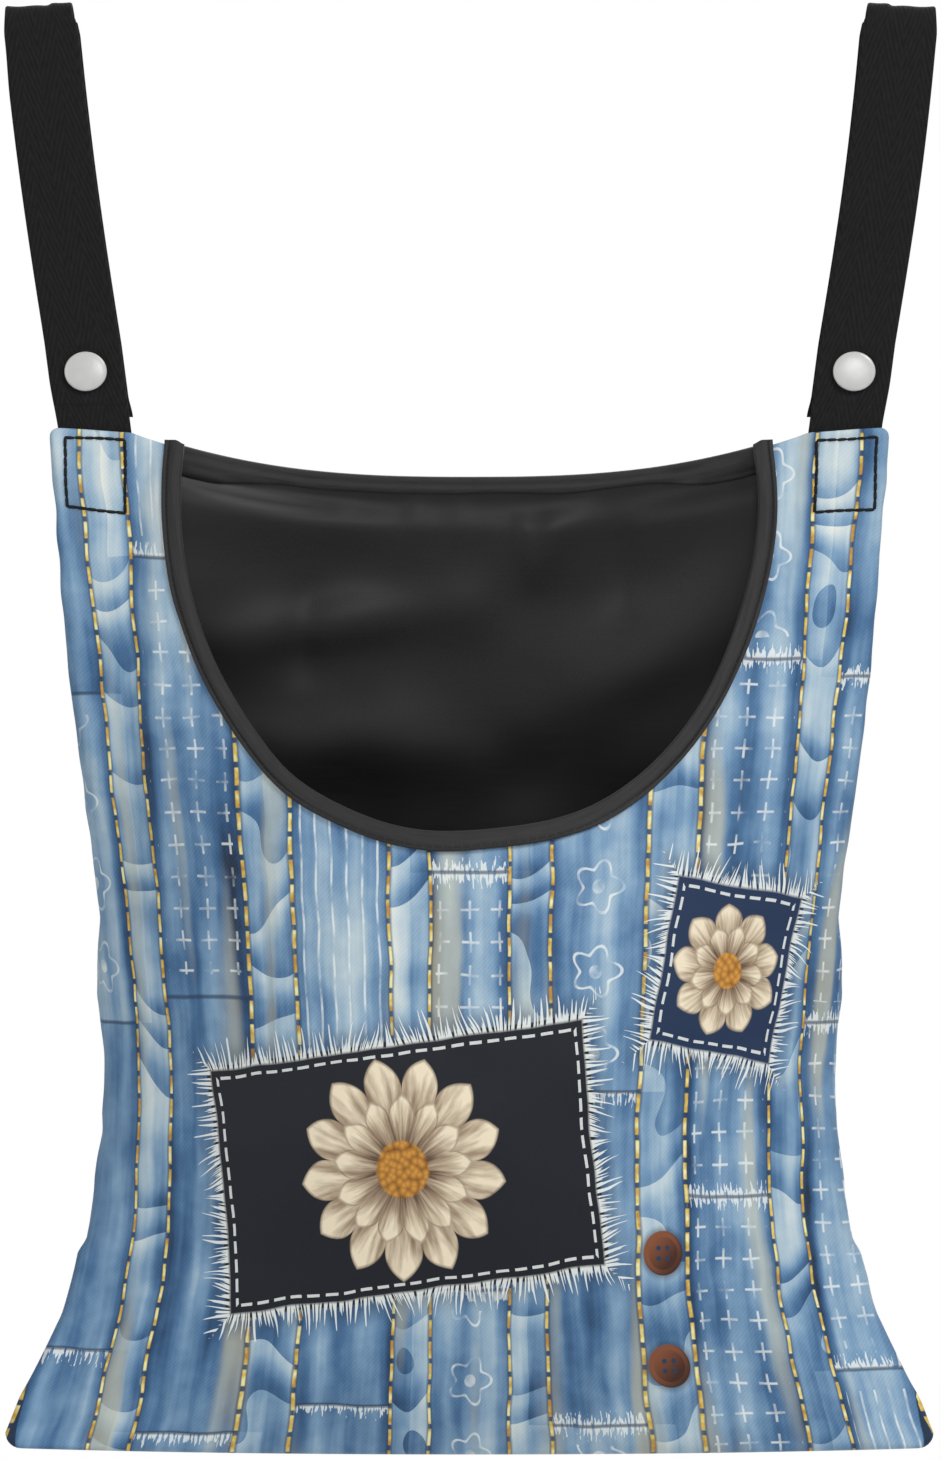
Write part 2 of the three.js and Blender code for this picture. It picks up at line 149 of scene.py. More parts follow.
# camera, light and floor come first, at the photograph's frame of 941 x 1459
view = {"distance": 2200, "frameHeight": 481.5, "middleZ": -232.2, "middleX": 0.2, "sensor": 36}

camera = bpy.data.objects.new("camera", bpy.data.cameras.new("camera"))
camera.data.sensor_width = view["sensor"]  # the long side's, which is the height here
camera.data.lens = view["sensor"] * view["distance"] / view["frameHeight"]
camera.location = (view["middleX"] * mm, -view["distance"] * mm, view["middleZ"] * mm)
camera.rotation_euler = (math.pi / 2, 0, 0)
scene.collection.objects.link(camera)
scene.camera = camera
scene.view_settings.view_transform = "Standard"

lamps = {
    "key": {"at": (1.25, -1.6, 1.2), "size": 0.9, "watts": 38},
    "front": {"at": (0.3, -2.5, 0.2), "size": 0.5, "watts": 12},
    "fill": {"at": (-1.7, -1.7, 0.0), "size": 1.5, "watts": 13},
    "back": {"at": (0.6, 2.0, 0.9), "size": 1.4, "watts": 30},
}
for name, lamp in lamps.items():
    light = bpy.data.objects.new(name, bpy.data.lights.new(name, "AREA"))
    light.data.size = lamp["size"]
    light.data.energy = lamp["watts"]
    light.location = lamp["at"]
    aim = np.array([0, 0, view["middleZ"] * mm]) - np.array(lamp["at"])
    light.rotation_euler = (math.acos(-aim[2] / np.linalg.norm(aim)), 0, math.atan2(-aim[0], aim[1]))
    scene.collection.objects.link(light)

studio = {"white": "#ffffff", "glow": 0.24, "floorColour": "#e9e9e7", "floorZ": -640, "floorSize": 1500}
scene.world = bpy.data.worlds.new("studio")
add = startNodes(scene.world)
rays = add("LightPath").node.outputs
seen = add("MAXIMUM", rays["Is Camera Ray"], rays["Is Transmission Ray"])
seen = add("MAXIMUM", seen, rays["Is Glossy Ray"])
strength = add("MapRange", seen, 0, 1, studio["glow"], 1.0)
add("OutputWorld", add("Background", linear(studio["white"]), strength))

floorPaint, add = startMaterial("paleFloorPaint")
bump = add("Bump", {"Height": add("TexNoise", {"Scale": 60}), "Strength": 0.02})
paint = {"Base Color": linear(studio["floorColour"]), "Roughness": 0.7, "Normal": bump}
add("OutputMaterial", add("BsdfPrincipled", paint))
floorMesh = bpy.data.meshes.new("floor")
half = studio["floorSize"] / 2 * mm
floorCorners = [(-half, -half, 0), (half, -half, 0), (half, half, 0), (-half, half, 0)]
floorMesh.from_pydata(floorCorners, [], [(0, 1, 2, 3)])
floorMesh.materials.append(floorPaint)
floorObject = bpy.data.objects.new("floor", floorMesh)
floorObject.location.z = studio["floorZ"] * mm
scene.collection.objects.link(floorObject)
print("camera, lamps and floor made")

# the bag's form, the same as the solids have, plus the cloth's own folds
bag = {
    "height": 337, "topWidth": 278, "bottomWidth": 311, "drop": 134.4,
    "drawIn": 28, "skew": 1.6, "corner": 5, "bow": 2.2,
    "scoop": 15.5, "scoopHalf": 111.7, "scoopFlat": 2.6,
    "belly": {"front": 52, "back": 36}, "sag": 1.2, "fullness": 0.8,
    "gape": {"front": (4, 30, 3), "back": (8, 60, 2)},  # rise, run, fade
    "seamRoll": 2, "seamStack": 0.62, "cornerStack": 2.5,
    "heldDepth": 26.5, "mouthEdge": 101.4, "stitchedFromSeam": 26.7,
    "topCorner": 3, "cornerLift": 1.7, "liftFrom": (106, 139),
}
# the side seams aren't quite even: millimetres drawn in further, by depth
seamWave = {
    "depths": [0, 20, 42, 82, 121, 161, 178, 187, 200, 214, 226,
               232, 240, 248, 262, 268, 272, 280, 293, 308, 320, 337],
    "left": [0.2, 1.8, 2.3, 1.6, 1.6, 1.9, -0.6, -1.2, 0.2, 0.8, 1.1,
             1.8, 1.1, 1.1, 2.3, 2.6, 0.9, 1.4, 2.2, 0.7, -0.8, 0.2],
    "right": [0.6, 2.0, 2.8, 2.1, 1.8, 2.2, -0.6, -0.9, 0.1, 0.7, 0.9,
              1.6, 1.5, 1.4, 2.7, 2.8, 1.4, 1.4, 2.2, 1.0, -0.3, 0.4],
    "ripple": 0.35, "rippleLong": 9,
}


def seamHalf(depth):  # much the solids' outline
    down = np.clip(depth / bag["height"], 0, 1)
    straight = (bag["topWidth"] * (1 - down) + bag["bottomWidth"] * down) / 2
    return straight - bag["drawIn"] * np.sin(np.pi * down ** bag["skew"])


def sideHalf(depth, sign):  # the cloth's outline, with its wavy seams
    wave = np.interp(depth, seamWave["depths"], seamWave["left" if sign < 0 else "right"])
    ripple = seamWave["ripple"] * softNoise(depth, 0, seamWave["rippleLong"], 3 if sign < 0 else 4)
    return seamHalf(depth) - wave - ripple * ease(depth, 4, 20) * ease(bag["height"] - depth, 4, 20)


def halfBeside(x, depth):  # on the side where each x lies
    return np.where(x < 0, sideHalf(depth, -1), sideHalf(depth, 1))


def cornerCut(x, half, radius):  # how much a rounded corner takes off the edge above or below it
    into = np.clip(np.abs(x) - (half - radius), 0, radius)
    return radius - np.sqrt(radius ** 2 - into ** 2)


def bottomRise(x, half):
    return bag["bow"] * (x / half) ** 2 + cornerCut(x, half, bag["corner"])


def topEdge(x):
    scoop = bag["scoop"] * np.maximum(0, 1 - (np.abs(x) / bag["scoopHalf"]) ** bag["scoopFlat"])
    return scoop - bag["cornerLift"] * ease(np.abs(x), *bag["liftFrom"])


def standOff(x, depth, half, face):
    edge = topEdge(x)
    heldFrom = seamHalf(bag["heldDepth"]) - bag["stitchedFromSeam"]
    bellyTop = edge + bag["heldDepth"] * ease(np.abs(x), bag["mouthEdge"], heldFrom)
    down = np.clip((depth - edge) / (bag["height"] - edge), 0, 1)
    bellyDown = np.clip((depth - bellyTop) / (bag["height"] - bellyTop), 0, 1)
    across = np.clip(np.abs(x) / half, 0, 1)
    toBottom = bag["height"] - bottomRise(x, half) - depth
    toSeam = np.maximum(0, np.minimum(half - np.abs(x), toBottom))
    stack = bag["seamStack"] + (bag["cornerStack"] - bag["seamStack"]) * np.sqrt(
        1 - (1 - np.minimum(1, toSeam / bag["seamRoll"])) ** 2)
    arch = np.cos(np.pi / 2 * across) * np.sin(np.pi * bellyDown ** bag["sag"])
    rise, run, fade = bag["gape"][face]
    opened = rise * ease(bag["scoopHalf"] - np.abs(x), 0, run) * (1 - down) ** fade
    return stack + bag["belly"][face] * np.maximum(0, arch) ** bag["fullness"] + opened


def seamPuckers(along, away, seed, size, reach):  # gathers that run square to a seam and die away
    ripple = 0.7 * softNoise(along + 0.15 * away, away * 0.3, 7, seed)
    ripple = ripple + softNoise(along - 0.2 * away, away * 0.2, 15, seed + 1)
    return size * ripple * np.exp(-away / reach) * (1 - np.exp(-away / 3))


def dragFold(x, depth, start, end, width, size):  # one soft fold along a line
    (ax, ad), (bx, bd) = start, end
    long = math.hypot(bx - ax, bd - ad)
    t = ((x - ax) * (bx - ax) + (depth - ad) * (bd - ad)) / long ** 2
    off = ((x - ax) * (bd - ad) - (depth - ad) * (bx - ax)) / long
    off = off + 2.5 * np.sin(t * 4 + ax)
    return size * np.exp(-(off / width) ** 2) * np.sin(np.pi * np.clip(t, 0, 1)) ** 1.5


# box stitch: single stitches of black thread, pulled tight around a box, on the front and through to the back
stitch = {"long": 3.1, "thread": 0.54, "rise": 0.25, "sides": 8, "steps": 8, "dip": 0.4, "dipWidth": 1.4,
          "pucker": 0.3, "puckerReach": 5,
          "left": [(-133.7, 1.4), (-113.9, 2.3), (-113.5, 26.4), (-132.7, 24.4)],
          "right": [(114.4, 2.6), (134.2, 1.3), (133.3, 25.2), (113.8, 26.2)]}


def stitchDip(x, depth):  # how far the tight stitches pull the cloth in
    nearest = np.full(np.shape(x), 1e3)
    for corners in (stitch["left"], stitch["right"]):
        for (ax, ad), (bx, bd) in zip(corners, corners[1:] + corners[:1]):
            along = (x - ax) * (bx - ax) + (depth - ad) * (bd - ad)
            t = np.clip(along / ((bx - ax) ** 2 + (bd - ad) ** 2), 0, 1)
            nearest = np.minimum(nearest, np.hypot(x - ax - t * (bx - ax), depth - ad - t * (bd - ad)))
    pucker = stitch["pucker"] * softNoise(x, depth, 3.4, 91) * np.exp(-(nearest / stitch["puckerReach"]) ** 2)
    return stitch["dip"] * np.exp(-(nearest / stitch["dipWidth"]) ** 2) + pucker


folds = {
    "sidePuckers": 1.5, "sideReach": 13, "bottomPuckers": 1.5, "bottomReach": 12,
    "broad": 2.0, "broadCell": 46, "fine": 0.6, "fineCell": 19, "mouthPuckers": 0.4, "topRoll": 0.45,
    # start, end, half width, size, for the right half; the left half gets its own share of each
    "drags": [
        ((128, 27), (112, 118), 5, -1.5), ((114, 29), (96, 170), 6, 1.5), ((134, 40), (121, 150), 4, 1.2),
        ((148, 330), (92, 236), 8, -2.4), ((140, 333), (70, 268), 7, 1.8), ((152, 318), (112, 225), 5, 1.6),
        ((112, 335), (60, 296), 6, -1.4), ((122, 205), (70, 190), 7, -1.1), ((123, 225), (64, 240), 7, 1.2),
    ],
}


# the mouth: straight sides, then half an ellipse; settled gives the places around it, as angle, spread
# and millimetres outwards, where the hanging cloth has shifted its edge
mouth = {"half": 96.5, "drop": 112.5, "straight": 22,
         "settled": [(-0.22, 0.13, -1.8), (0.42, 0.3, -1.2), (1.5, 0.24, -2.9),
                     (2.14, 0.16, 1.6), (3.35, 0.09, -1.0)]}


def mouthSettle(x, depth):
    turn = np.arctan2(np.maximum(depth - mouth["straight"], 0), x)
    turn = turn + np.where(x > 0, 1, -1) * np.minimum(depth - mouth["straight"], 0) / mouth["half"]
    return sum(size * np.exp(-((turn - at) / wide) ** 2) for at, wide, size in mouth["settled"])


def mouthNormal(x, depth):  # points away from the opening
    nx, nd = x / mouth["half"] ** 2, np.maximum(depth - mouth["straight"], 0) / mouth["drop"] ** 2
    size = np.hypot(nx, nd) + 1e-9
    return nx / size, nd / size


def mouthDistance(x, depth):  # outside is positive
    half, drop = mouth["half"], mouth["drop"]
    below = np.maximum(depth - mouth["straight"], 0)
    f = np.sqrt((x / half) ** 2 + (below / drop) ** 2) + 1e-9
    slope = np.sqrt((x / half ** 2) ** 2 + (below / drop ** 2) ** 2) / f + 1e-9
    return (f - 1) / slope - mouthSettle(x, depth)


def clothFolds(x, depth, half, seed):
    toSide = np.maximum(0, half - np.abs(x))
    toBottom = np.maximum(0, bag["height"] - bottomRise(x, half) - depth)
    side = np.where(x < 0, 0, 40)
    total = seamPuckers(depth + side * 7, toSide, seed, folds["sidePuckers"], folds["sideReach"])
    total = total + seamPuckers(x, toBottom, seed + 2, folds["bottomPuckers"], folds["bottomReach"])
    broad = folds["broad"] * softNoise(x, depth, folds["broadCell"], seed + 4)
    broad = broad + folds["fine"] * softNoise(x, depth, folds["fineCell"], seed + 5)
    total = total + broad * ease(toSide, 2, 40) * ease(toBottom, 2, 40) * ease(depth, 5, 60)
    for i, (start, end, width, size) in enumerate(folds["drags"]):
        share = 0.75 + 0.25 * math.sin(3 * i + seed)
        total = total + dragFold(x, depth, start, end, width, size * share)
        mirror = 0.75 + 0.25 * math.cos(5 * i + seed)
        total = total + dragFold(-x + 3 * math.sin(i), depth, start, end, width, size * mirror)
    rolled = folds["topRoll"] * np.exp(-(depth - topEdge(x) - 1.4) ** 2)  # the turned top edge is plump
    return (total + rolled - stitchDip(x, depth)) * ease(toSide, 0, 3) * ease(toBottom, 0, 3)


def frontFolds(x, depth, half):
    nearMouth = np.abs(mouthDistance(x, depth))
    calm = ease(nearMouth, 4, 22)  # the binding holds the mouth's edge even
    around = np.arctan2(depth - mouth["straight"], x) * 105  # millimetres, at the mouth's usual radius
    pucker = folds["mouthPuckers"] * softNoise(around, nearMouth * 0.3, 5, 77)
    pucker = pucker * np.exp(-nearMouth / 9) * ease(nearMouth, 4, 8)
    return clothFolds(x, depth, half, 11) * (0.25 + 0.75 * calm) + pucker


def frontWall(x, depth, half, into):
    return into - standOff(x, depth, half, "front") - frontFolds(x, depth, half)


def backWall(x, depth, half, into):
    return standOff(x, depth, half, "back") + clothFolds(x, depth, half, 31) - into


# rows by depth and columns by their distance from the seam, closer together where the cloth turns
sheetGrid = {"topRows": [0, 0.25, 0.8, 2], "evenRows": (4, 331), "lowRows": [332.6, 334, 335.1, 335.9, 336.5],
             "toSeam": [9, 7, 5.2, 3.8, 2.6, 1.7, 1, 0.5, 0.2, 0], "evenAcross": 130, "wavyStrip": 40}


def clothShell(name, wall, cutMouth, near, far, inset, step, material, slot):
    toSeam = np.array(sheetGrid["toSeam"])
    evenRows = np.arange(*sheetGrid["evenRows"], step)
    rows = [*sheetGrid["topRows"], *evenRows, *sheetGrid["lowRows"], bag["height"] - inset]
    count = int(round(sheetGrid["evenAcross"] / step))
    points, spread = [], []
    for depth in rows:
        down = depth / bag["height"]
        atSeam = depth + bag["topCorner"] * (1 - down) - bag["corner"] * down  # where the row meets the seam
        edge = seamHalf(atSeam) - inset
        even = np.concatenate([np.linspace(0, edge - toSeam[0], count, endpoint=False), edge - toSeam])
        # only a strip beside the seam follows its waves
        bySeam = ease(even, edge - sheetGrid["wavyStrip"], edge - toSeam[0])
        line = [sign * (even - bySeam * (seamHalf(atSeam) - sideHalf(atSeam, sign))) for sign in (-1, 1)]
        x = np.concatenate([line[0][:0:-1], line[1]])
        half = halfBeside(x, atSeam)
        fromTop = topEdge(x) + cornerCut(x, half, bag["topCorner"])
        real = depth + fromTop * (1 - down) - bottomRise(x, half) * down
        if cutMouth:  # bring the nearest points onto the cut line
            off = mouthDistance(x, real)
            snap = np.abs(off) < 0.5 * step
            nx, nd = mouthNormal(x, real)
            x = np.where(snap, x - off * nx, x)
            real = np.where(snap, real - off * nd, real)
        outer, inner = wall(x, real, half, near), wall(x, real, half, far)
        middle = (outer + inner) / 2
        if depth < 0.5:  # the folded top edge is round
            share = 0.1 if depth == 0 else 0.75
            outer, inner = middle + (outer - middle) * share, middle + (inner - middle) * share
        halves = outer[len(even) - 1::-1], outer[len(even) - 1:]
        runs = [runAlong(np.c_[even, swell]) for swell in halves]
        spread.append([even] + [run / run[-1] for run in runs])
        points.append(np.stack([x, outer, -bag["drop"] - real, inner], -1))
    grid, spread = np.array(points), np.array(spread)
    nRows, nCols = grid.shape[:2]
    # lay the rows out flat, evened out from row to row; the print is cut off at the seam, not squeezed
    weights = np.hanning(17)[1:-1] / np.hanning(17).sum()
    padded = np.pad(spread, ((7, 7), (0, 0), (0, 0)), "edge")
    evened = sum(w * padded[i:i + nRows] for i, w in enumerate(weights))
    flat = np.zeros((nRows, nCols, 2))
    for r, depth in enumerate(rows):
        wider = (bag["bottomWidth"] - bag["topWidth"]) * depth / bag["height"]
        flatHalf = (bag["topWidth"] + wider) / 2 - inset
        x, even = grid[r, :, 0], spread[r, 0]
        share = np.where(x < 0, np.interp(-x, even, evened[r, 1]), np.interp(x, even, evened[r, 2]))
        flat[r, :, 0] = np.sign(x) * (share * flatHalf + np.maximum(0, np.abs(x) - even[-1]))
        flat[r, :, 1] = -bag["drop"] - grid[r, :, 2]
    flat = flat.reshape(-1, 2)
    quads = gridFaces(np.arange(nRows * nCols).reshape(nRows, nCols))
    line = grid.reshape(-1, 4)
    if cutMouth:
        centre = line[quads].mean(1)
        quads = quads[mouthDistance(centre[:, 0], -bag["drop"] - centre[:, 2]) > 0]
    used = np.unique(quads)
    renumber = np.full(len(line), -1)
    renumber[used] = np.arange(len(used))
    quads, line, flat = renumber[quads], line[used], flat[used]
    total = len(line)
    edges = {(a, b): True for face in quads for a, b in zip(face, np.roll(face, -1))}
    rim = [(b, a, a + total, b + total) for a, b in edges if (b, a) not in edges]
    skins = np.concatenate([line[:, [0, 1, 2]], line[:, [0, 3, 2]]])
    faces = [*quads, *(quads[:, ::-1] + total), *rim]
    roll = flat + (printLook["backAlong"] if wall is backWall else 0, 0)
    piece = makePiece(name, skins, faces, material, slot, np.concatenate([roll, roll]), 50)
    a, b, c, d = (flat[quads[:, k]] for k in range(4))
    cut = 0.5 * np.abs((c - a)[:, 0] * (d - b)[:, 1] - (c - a)[:, 1] * (d - b)[:, 0]).sum()
    return piece, cut * mm * mm


def startCloth(name):  # with the pieces' flat map, in millimetres
    made, add = startMaterial(name)
    return made, add, add("VectorMath MULTIPLY", add("UVMap", uv_map="clothMap"), (1000, 1000, 1000))


def evenLines(add, along, spacing):  # from -1 to 1 and back at each spacing
    return add("SINE", add("MULTIPLY", along, 2 * math.pi / spacing))


def streaked(add, inMm, size, detail):  # noise drawn out to a size along X and Y
    return add("TexNoise 2D", add("VectorMath DIVIDE", inMm, (*size, 1)), 1, detail)


def layered(add, colour, *layers):  # each layer is a mask and what shows there, over those before it
    for mask, tint in layers:
        colour = add("Mix RGBA", mask, colour, linear(tint) if isinstance(tint, str) else tint)
    return colour


def finishMaterial(add, surface, height, strength, deep):  # the shader, its relief so many millimetres deep
    surface["Normal"] = add("Bump", {"Height": height, "Strength": strength, "Distance": deep * mm})
    add("OutputMaterial", add("BsdfPrincipled", surface))


def setStops(ramp, stops):  # the places and colours along a ramp
    elements = ramp.node.color_ramp.elements
    while len(elements) < len(stops):
        elements.new(0.5)
    for i, (at, tint) in enumerate(stops):
        elements[i].position, elements[i].color = at, linear(tint)


# printed polyester cloth: a plain weave with a denim patchwork printed flat on it,
# so the eye gets washed blues, golden topstitching and pale frayed edges, but hardly any relief
printLook = {
    "denim": [(0.0, "#e4e2d4"), (0.14, "#cdd6d6"), (0.34, "#a4bac8"), (0.54, "#7495b3"), (0.74, "#456a90"),
              (0.9, "#2a4a6e"), (1.0, "#1a2a40")],
    "gold": [(0.33, "#b48638"), (0.5, "#d2b75a"), (0.66, "#e8dfa2")],
    "line": "#1f3550", "white": "#e3e8e6", "beige": "#c6c3a6",
    "weave": 0.8,  # millimetres; real thread spacing is about 0.3, drawn coarser so that it shows
    "backAlong": 2000,  # the back is cut further along the same roll
    "waverLong": 22.22, "waver": 1.1,  # hand-drawn lines stray by so much
    # strips of unlike width, each cut into patches of its own height
    "column": 47, "columnShift": 23.5, "columnSwing": 4, "swingLong": 146.12,
    "rowLeast": 105, "rowMore": 90, "rowShift": 160,
    # sizes of streaks, clouds, twill and wear, and what share of the tone each thing has
    "streak": (9.09, 111.1), "cloud": 38.46, "twill": 1.5, "wear": 8.333, "goldChange": 5,
    "share": {"base": 0.5, "patch": 0.2, "streaks": 0.75, "clouds": 0.6, "washed": -0.22, "slip": 0.6,
              "besideBand": 0.2, "twill": 0.016},
    "washedSides": (80, 132), "washedTop": (130, 10), "slipAt": 205, "slipLean": 0.16,
    # felled seams between the strips, with their puffs and stitches
    "bandHalf": 7.6, "bandSoft": 0.4, "bandShade": 7, "puff": 22, "puffArc": 0.09, "puffDrift": 55,
    "driftLong": 28.57, "puffDeep": (0.12, 0.36), "puffTone": (-0.8, 0.45),
    "stitchPitch": 7.6, "stitchShare": 0.76, "stitchHalf": 0.55,
    # white motifs, with the throw of the dice that each takes
    "stripePitch": 5.2, "blossomPitch": 27, "blossomRadius": 7, "blossomLobe": 1.5, "blossomEye": 2.2,
    "crossPitch": 10.4, "dice": {"stripe": (0.0, 0.16), "blossom": (0.16, 0.5), "cross": (0.5, 0.68)},
    "clearOfBand": 2.5, "clearOfRow": 7, "fray": (0.9091, 5), "frayReach": (0.1, 5.5), "frayFrom": 0.3,
    # frayed appliques: middle, half size and turn on the flat cloth, then the flower's radius and petals
    "appliques": [
        {"at": (-24, 240), "half": (70, 42), "turn": 0.13, "flower": 37, "petals": 13, "ground": "#10141c"},
        {"at": (93, 176), "half": (27, 29), "turn": -0.16, "flower": 22, "petals": 9, "ground": "#1b2c49"},
    ],
    "strandReach": (-1.5, 8.5), "bastingIn": 4.5, "bastingPitch": 6.2, "bastingLong": 4.2,
    "petal": [(0.25, "#5a4636"), (0.6, "#a08d76"), (1.0, "#e4d7bd")], "heart": ["#6b3f1c", "#cf9440"],
    "petalRings": ((0, 1.0), (1, 0.68)), "heartReach": (0.27, 0.24),
    "buttons": [(70, 268), (70, 306)], "button": ["#3c2117", "#7c4a31"],
    "buttonRim": 6.2, "buttonEdge": (7.6, 7.2), "buttonHole": (1.0, 0.7), "holesOff": 1.7,
}


def flowerPrint(add, u, v, radius, petals):  # mask and colour of one flower, from its middle
    look = printLook
    away = add("VectorMath LENGTH", add("CombineXYZ", u, v))
    turn = add("ARCTAN2", v, u)
    mask, colour = None, None
    for ring, reach in look["petalRings"]:
        spun = add("ADD", turn, ring * math.pi / petals + 10 * math.pi)
        inPetal = add("MULTIPLY", add("PINGPONG", spun, math.pi / petals), petals / math.pi)
        tip = add("POWER", inPetal, 0.45)
        edge = add("MULTIPLY_ADD", tip, 0.3 * reach * radius, 0.7 * reach * radius)
        inside = add("SUBTRACT", edge, away)
        leaf = add("MapRange", inside, -0.2, 0.4)
        ray = add("CombineXYZ", add("MULTIPLY", spun, 11), add("MULTIPLY", away, 0.07))
        streak = add("TexNoise 2D", ray, 1, 3)
        along = add("MULTIPLY", away, 1 / (reach * radius))
        shade = add("MULTIPLY_ADD", streak, 0.9, add("SUBTRACT", along, 0.38))
        shade = add("MULTIPLY_ADD", add("SUBTRACT", inPetal, 0.7), 0.3, shade)
        petal = add("ValToRGB", shade)
        setStops(petal, look["petal"])
        rim = add("MapRange", inside, 1.3, 0.5, 0, 0.55)
        drawn = layered(add, petal, (rim, look["petal"][0][1]))
        colour = layered(add, colour, (leaf, drawn)) if colour else drawn
        mask = mask or leaf  # the outer ring's
    seeds = add("TexVoronoi 2D", add("CombineXYZ", u, v), 0.45)
    heart = layered(add, linear(look["heart"][1]), (seeds, look["heart"][0]))
    inHeart = add("MapRange", away, *(share * radius for share in look["heartReach"]))
    return mask, layered(add, colour, (inHeart, heart))


def appliquePrint(add, inMm, colour, spec):  # a dark frayed patch, stitched down, with a flower on it
    look = printLook
    middle = (*spec["at"], 0)
    turned = add("VectorRotate", inMm, middle, (0, 0, 1), spec["turn"])
    u, v, _ = add("SeparateXYZ", add("VectorMath SUBTRACT", turned, middle)).node.outputs
    offU, offV = (add("SUBTRACT", add("ABSOLUTE", part), half) for part, half in zip((u, v), spec["half"]))
    off = add("MAXIMUM", offU, offV)
    along = add("Mix FLOAT", add("GREATER_THAN", offU, offV), u, v)
    shadow = add("MapRange SMOOTHSTEP", off, 9, -1, 0, 0.6)
    ground = add("MapRange", off, 0.2, -0.4)
    mask, flower = flowerPrint(add, u, v, spec["flower"], spec["petals"])
    mask = add("MULTIPLY", mask, ground)

    # a row of white basting inside the edge, and loose strands that lean as they leave it
    onRow = add("MapRange", add("COMPARE", off, -look["bastingIn"], 0.5), 0, 1, 0, 0.75)
    dash = add("LESS_THAN", add("PINGPONG", along, look["bastingPitch"] / 2), look["bastingLong"] / 2)
    basting = add("MULTIPLY", onRow, dash)
    lean = add("SUBTRACT", add("TexNoise 1D", along, 0.05), 0.5)
    slid = add("MULTIPLY_ADD", lean, add("MULTIPLY", off, 2.5), along)
    reach = add("MapRange", add("TexNoise 1D", slid, 0.95, 1), 0.42, 0.75, *look["strandReach"])
    frayed = add("MapRange", add("SUBTRACT", reach, off), 0, 0.8, 0, 0.85)
    frayed = add("MULTIPLY", frayed, add("MapRange", off, -2.2, -1.2))
    return layered(add, colour, (shadow, look["line"]), (ground, spec["ground"]), (mask, flower),
                   (basting, look["white"]), (frayed, look["white"]))


def buttonPrint(add, inMm, colour, at):  # a brown four-hole button, shaded as a printed one is
    look = printLook
    local = add("VectorMath SUBTRACT", inMm, (*at, 0))
    away = add("VectorMath LENGTH", local)
    lit = add("VectorMath DOT_PRODUCT", local, (-0.075, -0.075, 0))
    rim = add("COMPARE", away, look["buttonRim"], 0.7)
    shade = add("MULTIPLY_ADD", rim, 0.35, add("ADD", lit, 0.4))
    holeAt = (look["holesOff"], look["holesOff"], 0)
    toHole = add("VectorMath SUBTRACT", add("VectorMath ABSOLUTE", local), holeAt)
    hole = add("MapRange", add("VectorMath LENGTH", toHole), *look["buttonHole"])
    brown = layered(add, linear(look["button"][0]), (shade, look["button"][1]), (hole, look["line"]))
    shadow = add("MapRange SMOOTHSTEP", away, 10, 7, 0, 0.6)
    return layered(add, colour, (shadow, look["line"]), (add("MapRange", away, *look["buttonEdge"]), brown))


